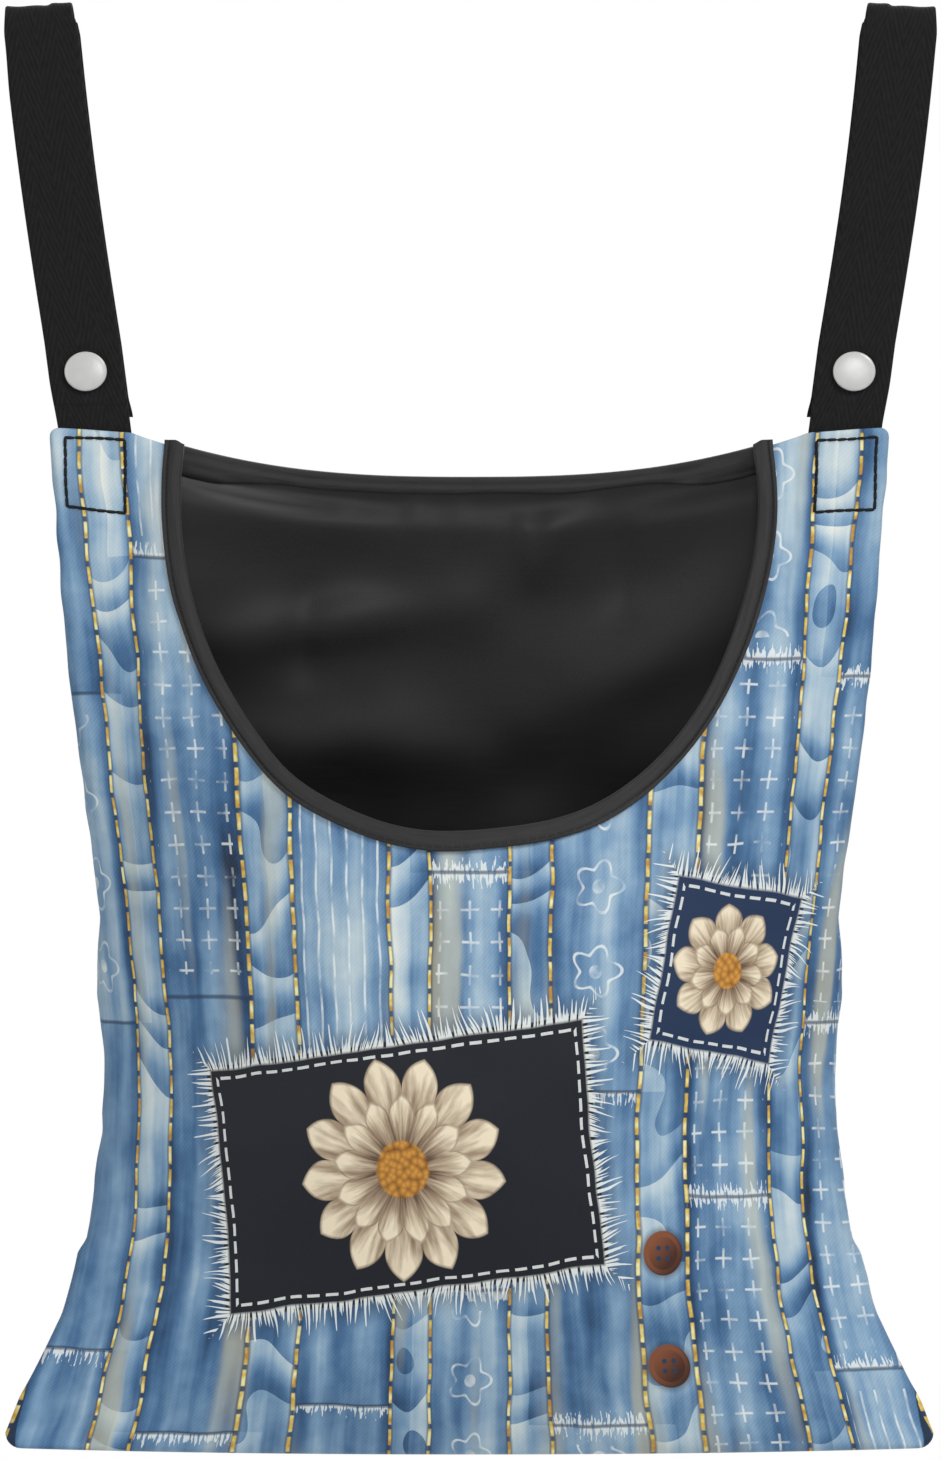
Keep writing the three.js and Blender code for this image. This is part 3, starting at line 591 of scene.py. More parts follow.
def makePrint():
    look = printLook
    share = look["share"]
    made, add, straight = startCloth("printedPolyesterDenimPatchwork")
    stray = look["waver"]
    waver = add("TexNoise 2D", straight, 1 / look["waverLong"], 1, out="Color")
    waver = add("VectorMath MULTIPLY_ADD", waver, (2 * stray, 2 * stray, 0), (-stray, -stray, 0))
    inMm = add("VectorMath ADD", straight, waver)
    x, y, _ = add("SeparateXYZ", inMm).node.outputs

    # strips of unlike width, each cut into patches of its own height
    swing = evenLines(add, x, look["swingLong"])
    swung = add("MULTIPLY_ADD", swing, look["columnSwing"], x)
    moved = add("ADD", swung, look["columnShift"] + 100 * look["column"])
    inColumns = add("DIVIDE", moved, look["column"])
    column, seam = add("FLOOR", inColumns), add("ROUND", inColumns)
    toColumn = add("PINGPONG", moved, look["column"] / 2)
    columnDice, columnTint = add("TexWhiteNoise 1D", column).node.outputs
    _, lower, _ = add("SeparateColor", columnTint).node.outputs
    rowHeight = add("MULTIPLY_ADD", columnDice, look["rowMore"], look["rowLeast"])
    lowered = add("MULTIPLY_ADD", lower, look["rowShift"], y)
    row = add("FLOOR", add("DIVIDE", lowered, rowHeight))
    toRow = add("PINGPONG", lowered, add("MULTIPLY", rowHeight, 0.5))
    patchDice, patchTint = add("TexWhiteNoise 2D", add("CombineXYZ", column, row)).node.outputs
    motifDice, frayDice, _ = add("SeparateColor", patchTint).node.outputs

    # tone runs from washed cream at 0 to navy at 1
    streakAt = add("VectorMath DIVIDE", inMm, (*look["streak"], 1))
    streaks = add("TexNoise 2D", streakAt, 1, 3)
    clouds = add("TexNoise 2D", inMm, 1 / look["cloud"], 4, 0.6)
    tone = add("MULTIPLY_ADD", patchDice, share["patch"], share["base"])
    tone = add("MULTIPLY_ADD", add("SUBTRACT", streaks, 0.5), share["streaks"], tone)
    tone = add("MULTIPLY_ADD", add("SUBTRACT", clouds, 0.5), share["clouds"], tone)
    onSheet = add("WRAP", x, look["backAlong"] / 2, -look["backAlong"] / 2)
    sideways = add("ABSOLUTE", onSheet)
    atSides = add("MapRange SMOOTHSTEP", sideways, *look["washedSides"])
    atTop = add("MapRange SMOOTHSTEP", y, *look["washedTop"])
    tone = add("MULTIPLY_ADD", add("MULTIPLY", atSides, atTop), share["washed"], tone)
    outward = add("MULTIPLY_ADD", y, look["slipLean"], sideways)  # a narrow navy slip at each lower corner
    tone = add("ADD", tone, add("MapRange", outward, look["slipAt"], look["slipAt"] + 0.8, 0, share["slip"]))

    # felled seams between the strips: worn puffs, pale on top and dark below, between golden stitches
    band, soft = look["bandHalf"], look["bandSoft"]
    inBand = add("MapRange", toColumn, band + soft, band - soft)
    outBand = add("SUBTRACT", 1.0, inBand)
    arc = add("MULTIPLY_ADD", add("MULTIPLY", toColumn, toColumn), look["puffArc"], y)
    drift = add("TexNoise 2D", inMm, 1 / look["driftLong"], 0)
    uneven = add("MULTIPLY_ADD", drift, look["puffDrift"], arc)
    puffAt = add("MULTIPLY_ADD", uneven, 1 / look["puff"], add("MULTIPLY", seam, 0.37))
    puffDice = add("TexWhiteNoise 2D", add("CombineXYZ", seam, add("FLOOR", puffAt)))
    puff = add("MapRange SMOOTHSTEP", add("FRACT", puffAt), 0, 1, *look["puffTone"])
    puff = add("MULTIPLY", puff, add("MapRange", puffDice, 0, 1, *look["puffDeep"]))
    tone = add("MULTIPLY_ADD", inBand, puff, tone)
    shadeFrom = band + look["bandShade"]
    beside = add("MapRange SMOOTHSTEP", toColumn, shadeFrom, band + soft, 0, share["besideBand"])
    tone = add("MULTIPLY_ADD", beside, outBand, tone)
    twill = evenLines(add, add("ADD", x, y), look["twill"])
    tone = add("MULTIPLY_ADD", twill, share["twill"], tone)
    denim = add("ValToRGB", tone)
    setStops(denim, look["denim"])
    beige = add("MapRange SMOOTHSTEP", add("TexNoise 4D", streakAt, 4.0, 0.7, 1), 0.55, 0.7, 0, 0.5)

    # traditional motifs in white on some patches: hickory stripe, outlined blossoms, sashiko crosses
    stripe = add("MapRange", add("PINGPONG", x, look["stripePitch"] / 2), 0.5, 0.25)
    wide, tall = float(look["column"]), float(look["blossomPitch"])
    cellX = add("SUBTRACT", add("WRAP", moved, wide, 0.0), wide / 2)
    cellY = add("SUBTRACT", add("WRAP", y, tall, 0.0), tall / 2)
    away = add("VectorMath LENGTH", add("CombineXYZ", cellX, cellY))
    turn = add("MULTIPLY", add("ARCTAN2", cellY, cellX), 5)  # five petals
    edge = add("MULTIPLY_ADD", add("COSINE", turn), look["blossomLobe"], look["blossomRadius"])
    outline = add("MapRange", add("ABSOLUTE", add("SUBTRACT", edge, away)), 0.65, 0.35)
    eye = add("MapRange", away, look["blossomEye"] + 0.2, look["blossomEye"] - 0.2)
    blossom = add("MAXIMUM", outline, eye)
    crossX, crossY = (add("PINGPONG", part, look["crossPitch"] / 2) for part in (x, y))
    thin = add("MapRange", add("MINIMUM", crossX, crossY), 0.55, 0.25)
    near = add("MapRange", add("MAXIMUM", crossX, crossY), 3.3, 3.0)
    motif = 0.0
    for name, drawn in (("stripe", stripe), ("blossom", blossom), ("cross", add("MULTIPLY", thin, near))):
        low, high = look["dice"][name]
        chosen = add("COMPARE", motifDice, (low + high) / 2, (high - low) / 2)
        motif = add("MAXIMUM", motif, add("MULTIPLY", chosen, drawn))
    worn = add("MapRange", add("TexNoise 2D", inMm, 1 / look["wear"], 3), 0.32, 0.6, 0.05, 0.7)
    clearOfBand = add("GREATER_THAN", toColumn, band + look["clearOfBand"])
    clearOfRow = add("GREATER_THAN", toRow, look["clearOfRow"])
    for mask in (clearOfBand, clearOfRow, worn):
        motif = add("MULTIPLY", motif, mask)

    # row seams: a dark line with a frayed white edge
    fray = streaked(add, inMm, look["fray"], 2)
    frayed = add("LESS_THAN", toRow, add("MapRange", fray, 0.4, 0.72, *look["frayReach"]))
    for mask in (add("GREATER_THAN", frayDice, look["frayFrom"]), outBand, 0.75):
        frayed = add("MULTIPLY", frayed, mask)
    rowLine = add("MULTIPLY", add("MapRange", toRow, 0.9, 0.3, 0, 0.75), outBand)

    # golden stitches: dashes along both edges of each felled seam, in a dark needle line
    off = add("ABSOLUTE", add("SUBTRACT", toColumn, band))
    half, long = look["stitchHalf"], look["stitchPitch"] / 2 * look["stitchShare"]
    needleLine = add("MapRange", off, half + 0.9, half, 0, 0.8)
    run = add("MULTIPLY_ADD", seam, 2.7, y)
    dash = add("MapRange", add("PINGPONG", run, look["stitchPitch"] / 2), long + 0.2, long - 0.2)
    dash = add("MULTIPLY", dash, add("MapRange", off, half + 0.2, half - 0.2))
    gold = add("ValToRGB", add("TexNoise 2D", inMm, 1 / look["goldChange"], 2))
    setStops(gold, look["gold"])
    colour = layered(add, denim, (beige, look["beige"]), (motif, look["white"]), (frayed, look["white"]),
                     (rowLine, look["line"]), (needleLine, look["line"]), (dash, gold))
    for spec in look["appliques"]:
        colour = appliquePrint(add, inMm, colour, spec)
    for at in look["buttons"]:
        colour = buttonPrint(add, straight, colour, at)

    # plain weave: fine crossing threads, only just felt
    warp, weft = (evenLines(add, part, look["weave"]) for part in (x, y))
    weave = add("MULTIPLY", warp, weft)
    surface = {"Base Color": colour, "Roughness": add("MapRange", weave, -1, 1, 0.7, 0.58), "IOR": 1.46,
               "Sheen Weight": 0.08, "Sheen Roughness": 0.45, "Specular IOR Level": 0.25}
    finishMaterial(add, surface, weave, 0.12, 0.1)
    return made


denimPrint = makePrint()

# black polyester taffeta: a tight smooth lining with a low silky sheen along its folds
taffetaLook = {"dark": "#0f0f10", "light": "#161617", "rough": (0.4, 0.48),
               "weave": 0.9,  # really about 0.2, drawn coarser so that it shows
               "slub": (20, 0.9091)}  # long and thick


def makeTaffeta():
    look = taffetaLook
    made, add, inMm = startCloth("blackPolyesterTaffeta")
    x, y, _ = add("SeparateXYZ", inMm).node.outputs
    warp, weft = (evenLines(add, part, look["weave"]) for part in (x, y))
    weave = add("MULTIPLY", warp, weft)
    slubs = streaked(add, inMm, look["slub"], 3)
    height = add("MULTIPLY_ADD", slubs, 0.6, weave)
    colour = layered(add, linear(look["dark"]), (slubs, look["light"]))
    surface = {"Base Color": colour, "Roughness": add("MapRange", slubs, 0, 1, *look["rough"]), "IOR": 1.5,
               "Sheen Weight": 0.02, "Sheen Roughness": 0.35, "Specular IOR Level": 0.21}
    finishMaterial(add, surface, height, 0.1, 0.1)
    return made


taffeta = makeTaffeta()

# charcoal polyester binding: a soft folded tape with fine ribs and one row of stitches along it
bindingLook = {"dark": "#1d1c1d", "light": "#2c2a2b", "thread": "#1b1b1c", "rib": 1.0,
               "streak": (8.333, 0.7143), "stitchAt": 3.4, "stitchPitch": 3.0}


def makeBindingCloth():
    look = bindingLook
    made, add, inMm = startCloth("charcoalPolyesterBinding")
    along, across, _ = add("SeparateXYZ", inMm).node.outputs
    ribs = evenLines(add, along, look["rib"])
    streaks = streaked(add, inMm, look["streak"], 3)
    off = add("ABSOLUTE", add("SUBTRACT", across, look["stitchAt"]))
    dash = add("MapRange", add("PINGPONG", along, look["stitchPitch"] / 2), 1.3, 1.05)
    sewn = add("MULTIPLY", add("MapRange", off, 0.6, 0.25), dash)
    colour = layered(add, linear(look["dark"]), (streaks, look["light"]), (sewn, look["thread"]))
    height = add("MULTIPLY_ADD", ribs, 0.08, add("MULTIPLY", sewn, 2.0))
    height = add("MULTIPLY_ADD", streaks, 0.8, height)
    surface = {"Base Color": colour, "Roughness": 0.68, "IOR": 1.48,
               "Sheen Weight": 0.06, "Sheen Roughness": 0.5, "Specular IOR Level": 0.25}
    finishMaterial(add, surface, height, 0.35, 0.2)
    return made


bindingCloth = makeBindingCloth()

# black cotton herringbone tape: slanting ribs that turn about at each stripe, matt, a little dusty, with a
# painted highlight along each rib's crest
tapeLook = {"dark": "#0f0f10", "light": "#1f1f20", "stripe": 6.3, "slant": 3.2, "thread": 0.9,
            "lint": (1.111, 3.333), "rib": 1.5}  # ribs are really about 0.8, drawn coarser so that they show


def makeTape():
    look = tapeLook
    made, add, inMm = startCloth("blackHerringboneTape")
    across, along, _ = add("SeparateXYZ", inMm).node.outputs
    slant = add("MULTIPLY", add("PINGPONG", across, look["stripe"]), look["slant"])
    run = add("ADD", along, slant)
    ribs = evenLines(add, run, look["rib"] * look["slant"])
    lint = streaked(add, inMm, look["lint"], 4)
    # real lint, plus a painted highlight: the colour is lighter where the rib relief is highest
    lintAndRibHighlight = add("MULTIPLY_ADD", ribs, 0.22, lint)
    threads = evenLines(add, along, look["thread"])
    height = add("MULTIPLY_ADD", threads, 0.25, ribs)
    colour = layered(add, linear(look["dark"]), (lintAndRibHighlight, look["light"]))
    surface = {"Base Color": colour, "Roughness": 0.82, "IOR": 1.45,
               "Sheen Weight": 0.04, "Sheen Roughness": 0.5, "Specular IOR Level": 0.12}
    finishMaterial(add, surface, height, 0.3, 0.2)
    return made


herringbone = makeTape()

# black polyester sewing thread: two twisted plies that catch the light in slanting turns
threadLook = {"dark": "#060607", "light": "#111112", "twist": 0.9}


def makeThread():
    look = threadLook
    made, add, inMm = startCloth("blackPolyesterThread")
    around, along, _ = add("SeparateXYZ", inMm).node.outputs
    plies = evenLines(add, add("ADD", around, along), look["twist"])
    colour = layered(add, linear(look["dark"]), (add("MapRange", plies, -1), look["light"]))
    surface = {"Base Color": colour, "Roughness": 0.65, "IOR": 1.5, "Specular IOR Level": 0.2}
    finishMaterial(add, surface, plies, 0.4, 0.1)
    return made


thread = makeThread()

# white acetal: moulded snap caps, glossy with a faint flow unevenness
acetalLook = {"white": "#c1c1c0", "shade": "#b4b4b3", "rough": (0.2, 0.3), "flow": 2.857}


def makeAcetal():
    look = acetalLook
    made, add = startMaterial("whiteMouldedAcetal")
    flow = add("TexNoise", add("TexCoord", out="Object"), 1 / (look["flow"] * mm), 2)
    colour = layered(add, linear(look["white"]), (flow, look["shade"]))
    surface = {"Base Color": colour, "Roughness": add("MapRange", flow, 0, 1, *look["rough"]), "IOR": 1.48}
    finishMaterial(add, surface, flow, 0.05, 0.1)
    return made


acetal = makeAcetal()
print("materials made")

# the four sheets of cloth; near and far are a sheet's faces, counted inwards from the panel's outer face
panel = {"near": 0, "far": 0.7, "inset": 0, "step": 1.7, "material": denimPrint, "slot": "printed_cloth"}
lining = {"near": 1.0, "far": 1.5, "inset": 0.15, "step": 2.4, "material": taffeta, "slot": "lining_cloth"}

slack = {
    "ease": 2, "swags": 2.4, "waves": 1.6, "gathers": 1.2, "ofRoom": 0.4, "ofFront": 0.6,
    # start, end, half width and size of each fold; those below zero are hollows
    "pulls": [
        ((-122, 18), (-20, 21), 13, 6.5), ((-112, 66), (14, 59), 9, 4.6), ((-58, 46), (-52, 86), 7, -2.4),
        ((20, 14), (17, 58), 2.6, 1.4), ((38, 14), (19, 52), 6, 2.6), ((51, 10), (50, 66), 8, -2.2),
        ((52, 20), (122, 18), 12, 5), ((100, 52), (24, 96), 12, 4), ((-92, 98), (30, 112), 13, 3.4),
    ],
}


def liningSlack(x, depth, half):  # the lining hangs a little loose, always towards the inside
    below = depth - topEdge(x)
    swag = depth + 30 * (x / 100) ** 2  # folds hang in bows between the corners
    total = slack["ease"] + slack["swags"] * (0.5 + 0.5 * softNoise(x / 2.4, swag, 27, 51))
    total = total + slack["waves"] * (0.5 + 0.5 * softNoise(x + 0.3 * depth, depth * 0.7, 33, 52))
    for start, end, width, size in slack["pulls"]:
        total = total + dragFold(x, depth, start, end, width, size)
    total = 0.5 * (total + np.sqrt(total ** 2 + 1))  # never through its own panel
    gathers = np.maximum(0, softNoise(x + 0.25 * below, below * 0.12, 8, 53)) ** 1.5
    gathers = gathers * np.exp(-below / 22) * ease(below, 5, 10)
    total = total * ease(below, 7, 17) * ease(bag["height"] - depth, 6, 50) + slack["gathers"] * gathers
    room = standOff(x, depth, half, "front") + standOff(x, depth, half, "back")
    most = slack["ofRoom"] * np.maximum(0.01, room - 2 * bag["cornerStack"])  # never as far as the other side
    return most * (1 - np.exp(-total / most)) * ease(half - np.abs(x), 3, 40)


def seamGap(into):  # each lining keeps to its own side where the two meet in the seam
    return 0.02 + 0.2 * (lining["far"] - into)


def frontLiningWall(x, depth, half, into):
    calm = ease(np.abs(mouthDistance(x, depth)), 7, 30)
    y = frontWall(x, depth, half, into) + slack["ofFront"] * liningSlack(x, depth, half) * calm
    return np.minimum(y, -seamGap(into))


def backLiningWall(x, depth, half, into):
    return np.maximum(backWall(x, depth, half, into) - liningSlack(x, depth, half), seamGap(into))


sheets = {}
for name, wall, cutMouth, kind in (
    ("front_panel_cloth", frontWall, True, panel),
    ("back_panel_cloth", backWall, False, panel),
    ("front_lining_cloth", frontLiningWall, True, lining),
    ("back_lining_cloth", backLiningWall, False, lining),
):
    piece, area = clothShell(name, wall, cutMouth, **kind)
    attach(piece, "bag")
    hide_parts(name.replace("_cloth", ""))
    sheets[name] = piece, area
    print(name, len(piece.data.vertices), "points, cut area", round(area, 4))

# folded tape around the mouth's edge and along the back's top edge, where it is a deeper hem
binding = {
    "reach": 4.9, "thick": 0.9, "clear": 0.6, "stack": 1.5, "puff": 0.5, "groove": 0.5, "plumpTo": 3.3,
    "step": 1.2, "uneven": 0.06, "ripple": 0.18,
    "mouthTop": 2.5, "mouthLong": 320, "stitchedFrom": (25, 70), "longWrinkle": 0.42, "endSlope": (1.3, 14),
    "hemHalf": 99, "hemSpread": -0.1, "hemUneven": 0.12, "hemCorner": (0.8, 58, 92),
    "hemWrinkle": (0.5, 35, 80),
}


def foldedSection(groove, plumpTo):  # (from the edge into the cloth, into the bag), once around
    thick, clear, reach = binding["thick"], binding["clear"], binding["reach"]
    near, far = -clear, binding["stack"] + clear
    middle, deep = (near + far) / 2, (far - near) / 2 + thick
    turn = np.linspace(0.5 * np.pi, 1.5 * np.pi, 13)
    bend = [(-clear + thick * math.cos(t), middle + deep * math.sin(t)) for t in turn]
    c = np.array([0.2, 0.7, 1.3, 1.9, 2.5, 2.9, 3.2, 3.4, 3.6, 3.9, 4.2, reach - 0.3])
    swell = binding["puff"] * np.sin(np.pi * np.clip(c / plumpTo, 0, 1)) ** 0.8
    swell = swell - groove * np.exp(-((c - bindingLook["stitchAt"]) / 0.35) ** 2)
    front = [(k, near - thick - s) for k, s in zip(c, swell)]
    back = [(k, far + thick + s) for k, s in zip(c, swell)]
    lip = [(reach - 0.1, near - 0.8 * thick), (reach, near - 0.5 * thick), (reach - 0.1, near - 0.1)]
    lipBack = [(reach - 0.1, far + 0.1), (reach, far + 0.5 * thick), (reach - 0.1, far + 0.8 * thick)]
    inside = [(0.3, near), (-clear + 0.1, near + 0.3), (-clear + 0.1, far - 0.3), (0.3, far)]
    return np.array(bend + front + lip + inside + lipBack + back[::-1])


def foldedTape(name, wall, edges, inward, node):
    b, isHem = binding, wall is backWall
    plain, grooved = foldedSection(0, b["reach"]), foldedSection(b["groove"], b["plumpTo"])
    middleInto = b["stack"] / 2
    run = runAlong(edges)
    points, flat = [], []
    for (ex, ed), (nx, nd), s in zip(edges, inward, run):
        toEnd = min(s, run[-1] - s)
        wider = b["uneven"] * softNoise(s, 0, 16, 61)
        if isHem:  # deeper most of all at its corners
            wider = wider + b["hemSpread"] + comeIn(abs(ex), *b["hemCorner"])
            wider = wider + b["hemUneven"] * softNoise(s, 0, 22, 63)
        stitched = 0 if isHem else ease(abs(ex), *b["stitchedFrom"])  # sunk stitches at the mouth's sides
        section = plain + (grooved - plain) * stitched
        c, into = section[:, 0], section[:, 1]
        c = np.where(c > 0, c * (1 + wider * (ease(into, 0, 1.5) if isHem else 1)), c)
        into = middleInto + (into - middleInto) * (0.55 + 0.45 * np.sqrt(ease(toEnd, -0.5, 2.5)))
        x, depth = ex + nx * c, ed + nd * c
        if isHem:  # long wrinkles at its ends
            wrinkle = comeIn(abs(ex), *b["hemWrinkle"]) * softNoise(s * 0.18, c, 2.2, 64) * ease(into, 1, 2.5)
        else:  # long wrinkles all along, and a cut end that slopes with the top edge
            wrinkle = b["longWrinkle"] * softNoise(s * 0.11 + 0.3 * c, c, 1.9, 65) * ease(0.5 - into, 0, 1)
            slope, slopeLong = b["endSlope"]
            depth = depth + slope * ease(slopeLong - toEnd, 0, slopeLong) * ease(1.5 - c, 0, 3)
        half = halfBeside(x, depth)
        y = wall(x, depth, half, into + b["ripple"] * softNoise(s, c * 0.5, 4, 62) + wrinkle)
        points.append(np.stack([x, y, -bag["drop"] - depth], -1))
        flat.append(np.stack([np.full(len(c), s), np.where(into < 1, section[:, 0], 20 + section[:, 0])], -1))
    index = np.arange(len(edges) * len(plain)).reshape(len(edges), -1)
    faces = [*gridFaces(np.c_[index, index[:, 0]]), index[0], index[-1][::-1]]
    points, flat = np.concatenate(points), np.concatenate(flat)
    piece = makePiece(name, points, faces, bindingCloth, "binding_tape", flat, 55)
    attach(piece, "bag")
    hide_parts(node)
    return piece


def mouthEdges():
    half, straight = mouth["half"], mouth["straight"]
    sideRun = np.linspace(binding["mouthTop"], straight, 14, endpoint=False)
    turn = np.linspace(np.pi, 0, int(binding["mouthLong"] / binding["step"]))
    x = np.concatenate([np.full(14, -half), half * np.cos(turn), np.full(14, half)])
    depth = np.concatenate([sideRun, straight + mouth["drop"] * np.sin(turn), sideRun[::-1]])
    out, nx, nd = mouthSettle(x, depth), *mouthNormal(x, depth)
    x, depth = x + nx * out, depth + nd * out
    run = np.hypot(np.gradient(x), np.gradient(depth))
    return np.stack([x, depth], -1), np.stack([-np.gradient(depth) / run, np.gradient(x) / run], -1)


def hemEdges():
    x = np.linspace(-binding["hemHalf"], binding["hemHalf"], int(2 * binding["hemHalf"] / binding["step"]))
    return np.stack([x, topEdge(x)], -1), np.stack([np.zeros_like(x), np.ones_like(x)], -1)


mouthBinding = foldedTape("mouth_binding_tape", frontWall, *mouthEdges(), "mouth_binding")
backHem = foldedTape("back_top_hem_tape", backWall, *hemEdges(), "back_top_hem")
for name, (piece, area) in sheets.items():
    trim = {"front_panel_cloth": [mouthBinding], "back_panel_cloth": [backHem]}.get(name, [])
    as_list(trim)
print("bindings made")

snap = {"z": -114.1, "sides": 48, "capR": 7.0, "tall": 0.93, "dome": 1.8, "rim": 0.75, "flatness": 0.6,
        "post": 1.7, "head": 2.1,
        "frontCap": (-1.0, 1.9, 1), "rearCap": (7.3, 3.3, -1)}  # under, head from, facing

# straps: one tape each, sewn in at the corner, up, over the line and down again as the tail
strap = {
    "half": 12.45, "thick": 0.7, "middle": 124.29, "lean": 7.45, "fold": -132.8, "sewn": 25, "join": 8,
    "loop": 6.2, "snapTop": -107.1, "tailY": 6.3, "tailEnd": -128.8, "step": 1.1, "sewnStep": 0.9,
    "cup": 0.12, "ripple": 0.12, "cordAt": 11.6, "dent": 0.35, "bowed": {-1: 0.85, 1: 1.15}, "bowLong": 105,
    # each of these is a size and the two places between which it comes in; first the fold, where the tape
    # turns over askew: both edges draw in, and the inner part stands higher
    "outerDraw": (1.2, -4, 7), "topDraw": {-1: (0.5, -25, -6), 1: (0.1, -25, -6)},
    "innerDraw": (0.5, -4, 1.5), "innerStep": (0.7, 0.9, 1.7),
    "askew": (1, -22, 6), "highPart": (1.2, 2.8, 5.6),
    "tailShift": (0.25, 0, 110), "tailPeek": (0.65, 121.5, 128.5), "foot": (0.4, 116, 134),
    "bagBend": (-1.5, 4), "tailBend": (1.5, 5.4),  # where the tape bends as the bag swings or the tail opens
}
slope = math.tan(math.radians(strap["lean"]))


def tapeSection():  # (across, through), with rounded selvedges
    edge = np.array([0.94, 0.975, 0.994, 1])
    w = strap["half"] * np.concatenate([-edge[::-1], np.linspace(-0.87, 0.87, 19), edge])
    thick = strap["thick"] * np.sqrt(np.maximum(0.04, 1 - np.abs(w / strap["half"]) ** 40))
    return w, thick * (1 + 0.08 * np.exp(-((np.abs(w) - strap["cordAt"]) / 0.7) ** 2))  # selvedge cord


def makeStrap(name, side, path):
    w, thick = tapeSection()
    outer, inner = ease(w, 0, strap["half"]), ease(-w, 0, strap["half"])
    cup = strap["cup"] * (1 - (w / strap["half"]) ** 2)
    path = np.array(path)
    tangent = np.gradient(path, axis=0)
    tangent /= np.linalg.norm(tangent, axis=1)[:, None]
    normal = np.stack([-tangent[:, 1], tangent[:, 0]], -1)  # in (y, z); points out of the loop
    run = runAlong(path)
    points, flat = [], []
    for (y, z), n, s in zip(path, normal, run):
        fromOuter = comeIn(z, *strap["outerDraw"]) + comeIn(z, *strap["topDraw"][side])
        fromInner = comeIn(z, *strap["innerDraw"]) + comeIn(z, *strap["innerStep"])
        width = w - fromOuter * outer + fromInner * inner
        lift = comeIn(z, *strap["askew"]) * (comeIn(-w, *strap["highPart"]) - 0.5 + 0.2 * np.cos(0.42 * w))
        dent = 0
        if y > strap["loop"] / 2:  # the tail shows a little on the inner side, most at its end
            shift = -comeIn(-z, *strap["tailShift"]) - comeIn(-z, *strap["tailPeek"])
        else:  # gathered into the seam at its foot, and pressed in around the cap
            gathered = comeIn(-z, *strap["foot"])
            shift, width = -gathered, width + gathered * (inner - outer)
            dent = strap["dent"] * np.exp(-((np.hypot(w, z - snap["z"]) - snap["capR"] - 0.4) / 1.1) ** 2)
        shift = shift + strap["bowed"][side] * math.sin(math.pi * min(1, max(0, -z / strap["bowLong"])))
        x = side * (strap["middle"] + (z - strap["fold"]) * slope + shift + width)
        ripple = strap["ripple"] * softNoise(s, w * 0.3, 13, 71 + side)
        for face, sunk, far in ((1, dent, 0), (-1, 0, 1000)):
            through = face * thick + cup + ripple - sunk
            points.append(np.stack([x, y + n[0] * through, z + n[1] * through + lift], -1))
            flat.append(np.stack([w + 30, np.full(len(w), s + far)], -1))
    k = len(w)
    front = np.arange(len(path))[:, None] * 2 * k + np.arange(k)
    selvedges = [front[:, [j, j]] + (0, k) for j in (0, -1)]
    ends = [np.stack([row, row + k]) for row in front[[0, -1]]]
    faces = np.concatenate([gridFaces(part) for part in (front, front + k, *selvedges, *ends)])
    return makePiece(name, np.concatenate(points), faces, herringbone, "strap_tape", np.concatenate(flat), 60)


def strapLines():
    s = strap
    joinZ = s["fold"] + s["join"]
    lower = [(0, z) for z in np.arange(s["fold"] - s["sewn"], joinZ, s["sewnStep"])] + [(0, joinZ)]
    leg = [(-s["loop"] * ease(z, s["snapTop"], 0), z) for z in np.arange(joinZ, 0, s["step"])]
    over = [(s["loop"] * math.cos(t), s["loop"] * math.sin(t)) for t in np.linspace(np.pi, 0, 27)]
    tail = [(s["loop"] + (s["tailY"] - s["loop"]) * ease(-z, 0, -s["snapTop"]), z)
            for z in np.arange(-s["step"], s["tailEnd"], -s["step"])]
    return lower, leg + over + tail + [(s["tailY"], s["tailEnd"])]


# snaps: turned pieces about Y, given as (radius, y) from the front leg's middle backwards
def turnedPiece(name, profile, x, node, body):
    turn = np.linspace(0, 2 * np.pi, snap["sides"], endpoint=False)
    points, faces, rings = [], [], []
    for r, y in profile:
        if r < 1e-6:
            rings.append([len(points)] * len(turn))
            points.append((x, y, snap["z"]))
        else:
            rings.append(list(range(len(points), len(points) + len(turn))))
            points.extend((x + r * math.cos(t), y, snap["z"] + snap["tall"] * r * math.sin(t)) for t in turn)
    pairs = list(zip(rings, rings[1:]))
    if profile[0][0] > 1e-6:
        pairs.append((rings[-1], rings[0]))  # a ring shape closes on itself
    for a, b in pairs:
        for i in range(len(turn)):
            j = (i + 1) % len(turn)
            corners = [a[i], a[j], b[j], b[i]]
            face = [c for c, before in zip(corners, corners[-1:] + corners[:-1]) if c != before]
            if len(face) > 2:
                faces.append(face)
    piece = makePiece(name, points, faces, acetal, "snap_plastic", None, 35)
    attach(piece, body)
    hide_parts(node)
    return piece


def capProfile(under, headFrom, facing):
    cap, post, head, rim = snap["capR"], snap["post"], snap["head"], snap["rim"]
    rise = lambda h: under - facing * h
    dome = [(cap * math.sin(t), rise(rim + (snap["dome"] - rim) * max(0, math.cos(t)) ** snap["flatness"]))
            for t in np.linspace(0, np.pi / 2, 16)]
    lip = [(cap + 0.02, rise(0.6)), (cap - 0.1, rise(0.32)), (cap - 0.45, rise(0.08)), (cap - 0.8, rise(0))]
    end = headFrom + facing * 0.4
    shank = [(post + 0.3, under), (post, under + facing * 0.2), (post, headFrom),
             (head, headFrom + facing * 0.1), (head, end - facing * 0.1), (head - 0.15, end), (0, end)]
    return dome + lip + shank


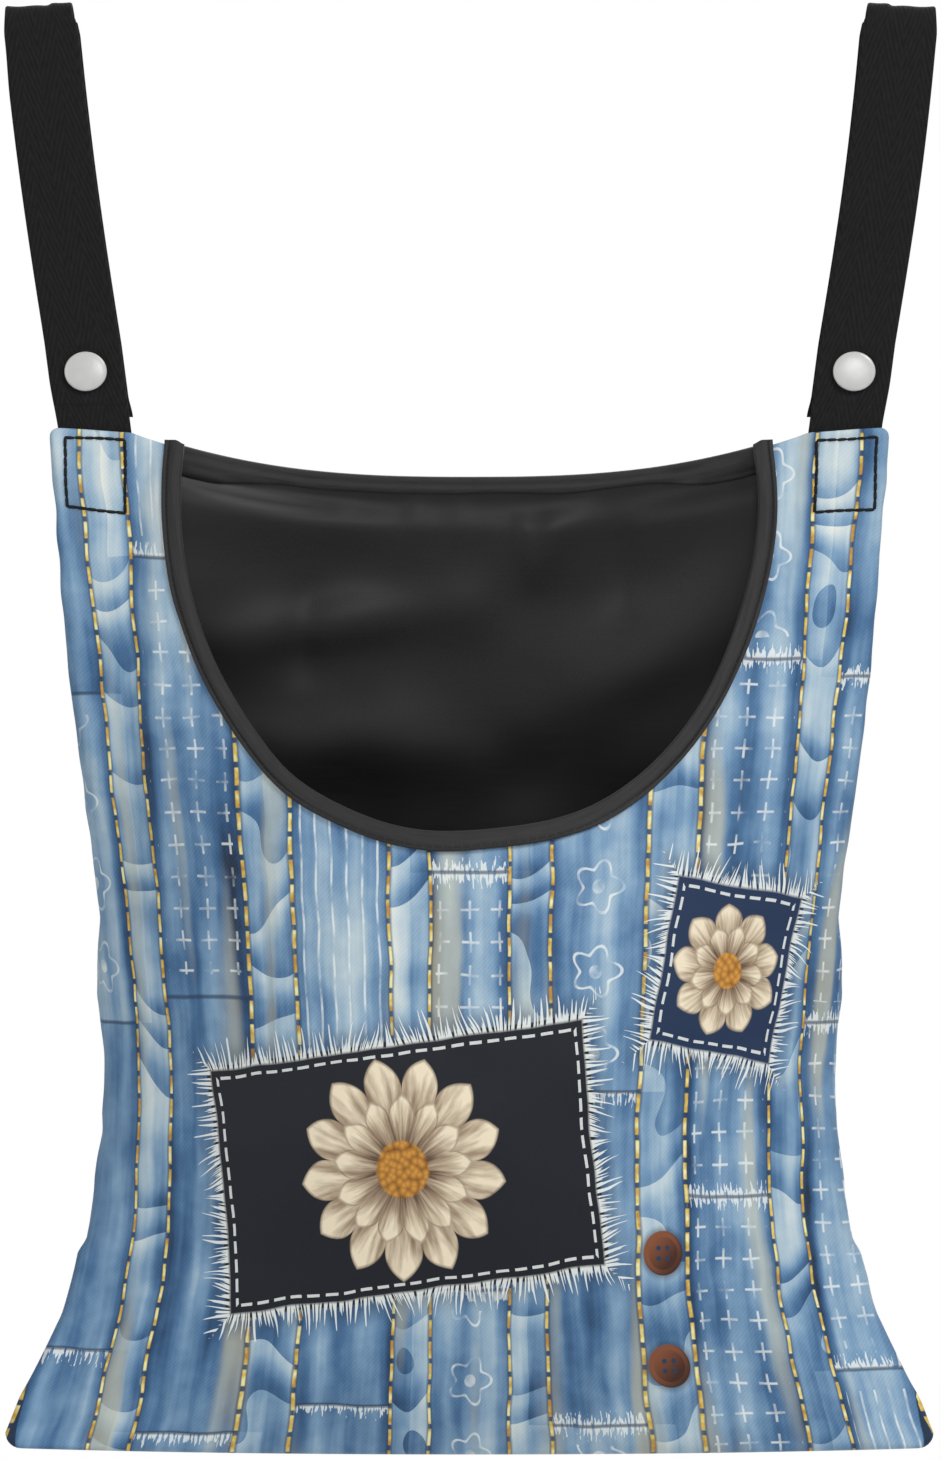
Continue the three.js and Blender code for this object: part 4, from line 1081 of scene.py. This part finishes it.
socketProfile = [(2.0, 1.0), (5.0, 1.0), (5.25, 1.2), (5.25, 3.3), (5.1, 3.75), (4.7, 4.1), (4.3, 4.2),
                 (3.5, 4.2), (3.25, 4.05), (3.15, 3.8), (3.15, 1.6), (2.0, 1.6)]
studProfile = [(2.0, 5.3), (5.0, 5.3), (5.25, 5.15), (5.25, 4.7), (5.1, 4.5), (3.1, 4.5), (2.75, 4.2),
               (2.7, 3.6), (2.85, 3.1), (2.75, 2.7), (2.6, 2.6), (2.4, 2.6), (2.4, 3.6), (2.0, 3.6)]


def boxStitches(name, side):
    corners = stitch["left" if side < 0 else "right"]
    n, steps = stitch["sides"], stitch["steps"]
    turn = np.arange(n) * 2 * np.pi / n
    share = np.linspace(0, 1, steps + 1)
    bulge = np.sin(np.pi * share) ** 0.4
    radius = (stitch["thread"] * (0.72 + 0.28 * bulge))[:, None]
    points, faces, flat, total = [], [], [], 0
    for wall, out in ((frontWall, -1), (backWall, 1)):
        for (ax, ad), (bx, bd) in zip(corners, corners[1:] + corners[:1]):
            length = math.hypot(bx - ax, bd - ad)
            across = np.array([ad - bd, bx - ax]) / length
            count = round(length / stitch["long"])
            for i in range(count):
                t = (i + share) / count
                wobble = 0.16 * math.sin(7 * i + ax + 2 * out) + 0.1 * (share - 0.5) * math.sin(11 * i + ad)
                px, pd = ax + (bx - ax) * t + across[0] * wobble, ad + (bd - ad) * t + across[1] * wobble
                base = wall(px, pd, sideHalf(pd, side), 0) + out * stitch["rise"] * bulge
                x = px[:, None] + across[0] * radius * np.cos(turn)
                depth = pd[:, None] + across[1] * radius * np.cos(turn)
                y = base[:, None] + out * radius * np.sin(turn)
                points.append(np.stack([x, y, -bag["drop"] - depth], -1).reshape(-1, 3))
                along = np.repeat((length * t)[:, None], n, 1)
                flat.append(np.stack([radius * turn, along], -1).reshape(-1, 2))
                index = total + np.arange((steps + 1) * n).reshape(-1, n)
                faces += [*gridFaces(np.c_[index, index[:, 0]]), index[0][::-1], index[-1]]
                total += index.size
    piece = makePiece(name, np.concatenate(points), faces, thread, "sewing_thread", np.concatenate(flat), 60)
    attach(piece, "bag")
    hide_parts(name.replace("_thread", ""))
    return piece


lowerLine, upperLine = strapLines()
bendLow, bendHigh = ((strap["fold"] + at) * mm for at in strap["bagBend"])
openFrom, openTo = (at * mm for at in strap["tailBend"])
for label, side in (("left", -1), ("right", 1)):
    tail = label + "_tail"
    lower = makeStrap(label + "_strap_sewn_tape", side, lowerLine)
    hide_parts(label + "_strap_sewn_end")
    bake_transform(lower)
    upper = makeStrap(label + "_strap_tape", side, upperLine)
    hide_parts(label + "_strap", label + "_strap_tail")
    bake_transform(upper)
    x = side * (strap["middle"] + (snap["z"] - strap["fold"]) * slope)
    for kind, profile, body in (
        ("front_cap", capProfile(*snap["frontCap"]), "straps"),
        ("socket", socketProfile, "straps"),
        ("stud", studProfile, tail),
        ("rear_cap", capProfile(*snap["rearCap"]), tail),
    ):
        turnedPiece(f"{label}_{kind}", profile, x, f"{label}_snap_{kind}", body)
    boxStitches(label + "_box_stitch_thread", side)
print("straps, snaps and stitches made")
